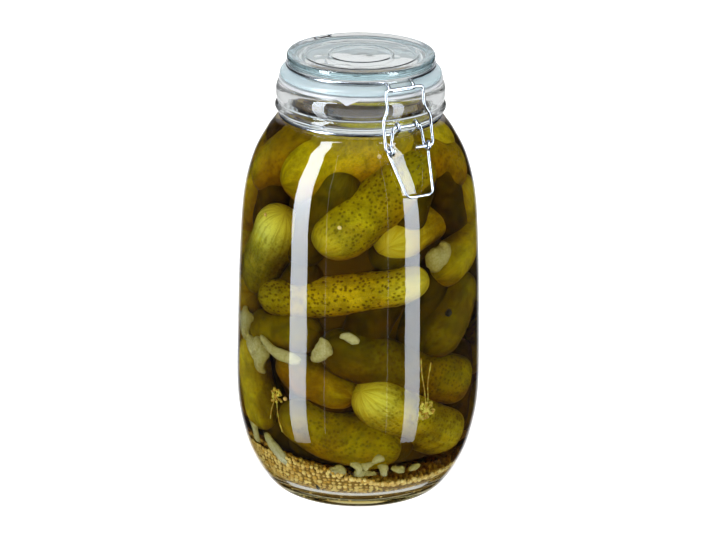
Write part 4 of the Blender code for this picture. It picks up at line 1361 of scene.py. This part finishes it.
def add_world():
    """A white studio that glass and wire see as darker towards the camera."""
    world = bpy.data.worlds.new("studio")
    bpy.context.scene.world = world
    world.use_nodes = True
    tree = world.node_tree
    way = node(tree, "ShaderNodeTexCoord").outputs["Generated"]

    def sky(even, patches):
        """Even light with round patches that fade out between their inner and outer edges."""
        total = None
        for bearing, elevation, inner, outer, strength in patches:
            centre = toward(CAMERA_BEARING + bearing, elevation)
            dot = vector_maths(tree, "DOT_PRODUCT", {0: way, 1: centre}, "Value")
            patch = ranged(tree, dot, cos(radians(outer)), cos(radians(inner)),
                           0.0, strength)
            total = patch if total is None else maths(tree, "ADD", total, patch)
        return maths(tree, "ADD", total, even)

    rays = node(tree, "ShaderNodeLightPath").outputs
    level = mixed(tree, rays["Is Glossy Ray"], sky(*LIGHTING_SKY), sky(*MIRROR_SKY))
    lit = maths(tree, "MINIMUM", rays["Diffuse Depth"], 1.0)
    through = mixed(tree, lit, sky(*SEEN_SKY), sky(*THROUGH_SKY))
    level = mixed(tree, rays["Is Transmission Ray"], level, through)
    level = mixed(tree, rays["Is Camera Ray"], level, colour(*BACKDROP))
    set_inputs(tree, tree.nodes["Background"], {"Color": level, "Strength": 1.0})


def set_renderer():
    scene = bpy.context.scene
    scene.view_settings.view_transform = "Standard"
    scene.cycles.max_bounces = 24
    scene.cycles.transmission_bounces = 20
    scene.cycles.glossy_bounces = 6
    scene.cycles.diffuse_bounces = 4
    scene.cycles.transparent_max_bounces = 12
    scene.cycles.sample_clamp_indirect = 8.0


# ---- assembly --------------------------------------------------------------------------------------

def build():
    set_renderer()
    add_camera()
    add_world()
    for strip in STRIPS:
        add_strip(*strip)
    add_floor(floor_material())

    steel = steel_material()
    skin = gherkin_material()
    jar = add_jar(glass_material("soda_lime_glass", GLASS_IOR, JAR_TINT, *JAR_WAVES),
                  glass_material("wetted_glass", GLASS_IOR / BRINE_IOR, JAR_TINT, *JAR_WAVES))
    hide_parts("jar_glass")
    lid = add_lid(glass_material("pressed_lid_glass", GLASS_IOR, CLEAR, *LID_WAVES, frosted=True))
    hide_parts("lid_glass")
    seal = add_seal(two_tone_material("milky_silicone"))
    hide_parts("seal")
    neck_wire = add_neck_wire(steel)
    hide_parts("neck_wire")
    lid_wire = add_lid_wire(steel)
    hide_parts("lid_wire")
    lever = add_lever(steel)
    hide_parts("clasp_lever")
    link = add_link(steel)
    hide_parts("clasp_link")

    front = add_gherkin_piece("gherkins_front", GHERKINS[:FRONT_GHERKINS], 0, FRONT_SIDES,
                              FRONT_RINGS, skin)
    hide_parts("gherkins")
    back = add_gherkin_piece("gherkins_back", GHERKINS[FRONT_GHERKINS:], FRONT_GHERKINS,
                             BACK_SIDES, BACK_RINGS, skin)
    inner = add_gherkin_piece("gherkins_inner", inner_rows(), len(GHERKINS), INNER_SIDES,
                              INNER_RINGS, skin)
    core = add_core(two_tone_material("heap_shade"))
    brine = add_brine(brine_material())
    brine_top = add_brine_surface(clear_material("brine_surface", BRINE_IOR)[0],
                                  clear_material("brine_underside", 1.0)[0])
    onions = joined("onion_slices", [onion_piece(i, row) for i, row in enumerate(ONIONS)],
                    two_tone_material("pickled_onion"))
    pepper = joined("peppercorns", [peppercorn(i, row) for i, row in enumerate(PEPPERCORNS)],
                    two_tone_material("peppercorn_skin"))
    dill = add_dill(two_tone_material("pickled_dill"))
    seeds = add_seeds(seed_material())
    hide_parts("mustard_seeds")
    bed = add_bed(two_tone_material("mustard_seed_and_painted_gap_shade"))

    for piece in (jar, neck_wire, front, back, inner, core, brine, brine_top, onions, pepper,
                  dill, seeds, bed):
        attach(piece, "jar")
    for piece in (lid, seal, lid_wire):
        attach(piece, "lid")
    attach(lever, "lever")
    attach(link, "link")


build()
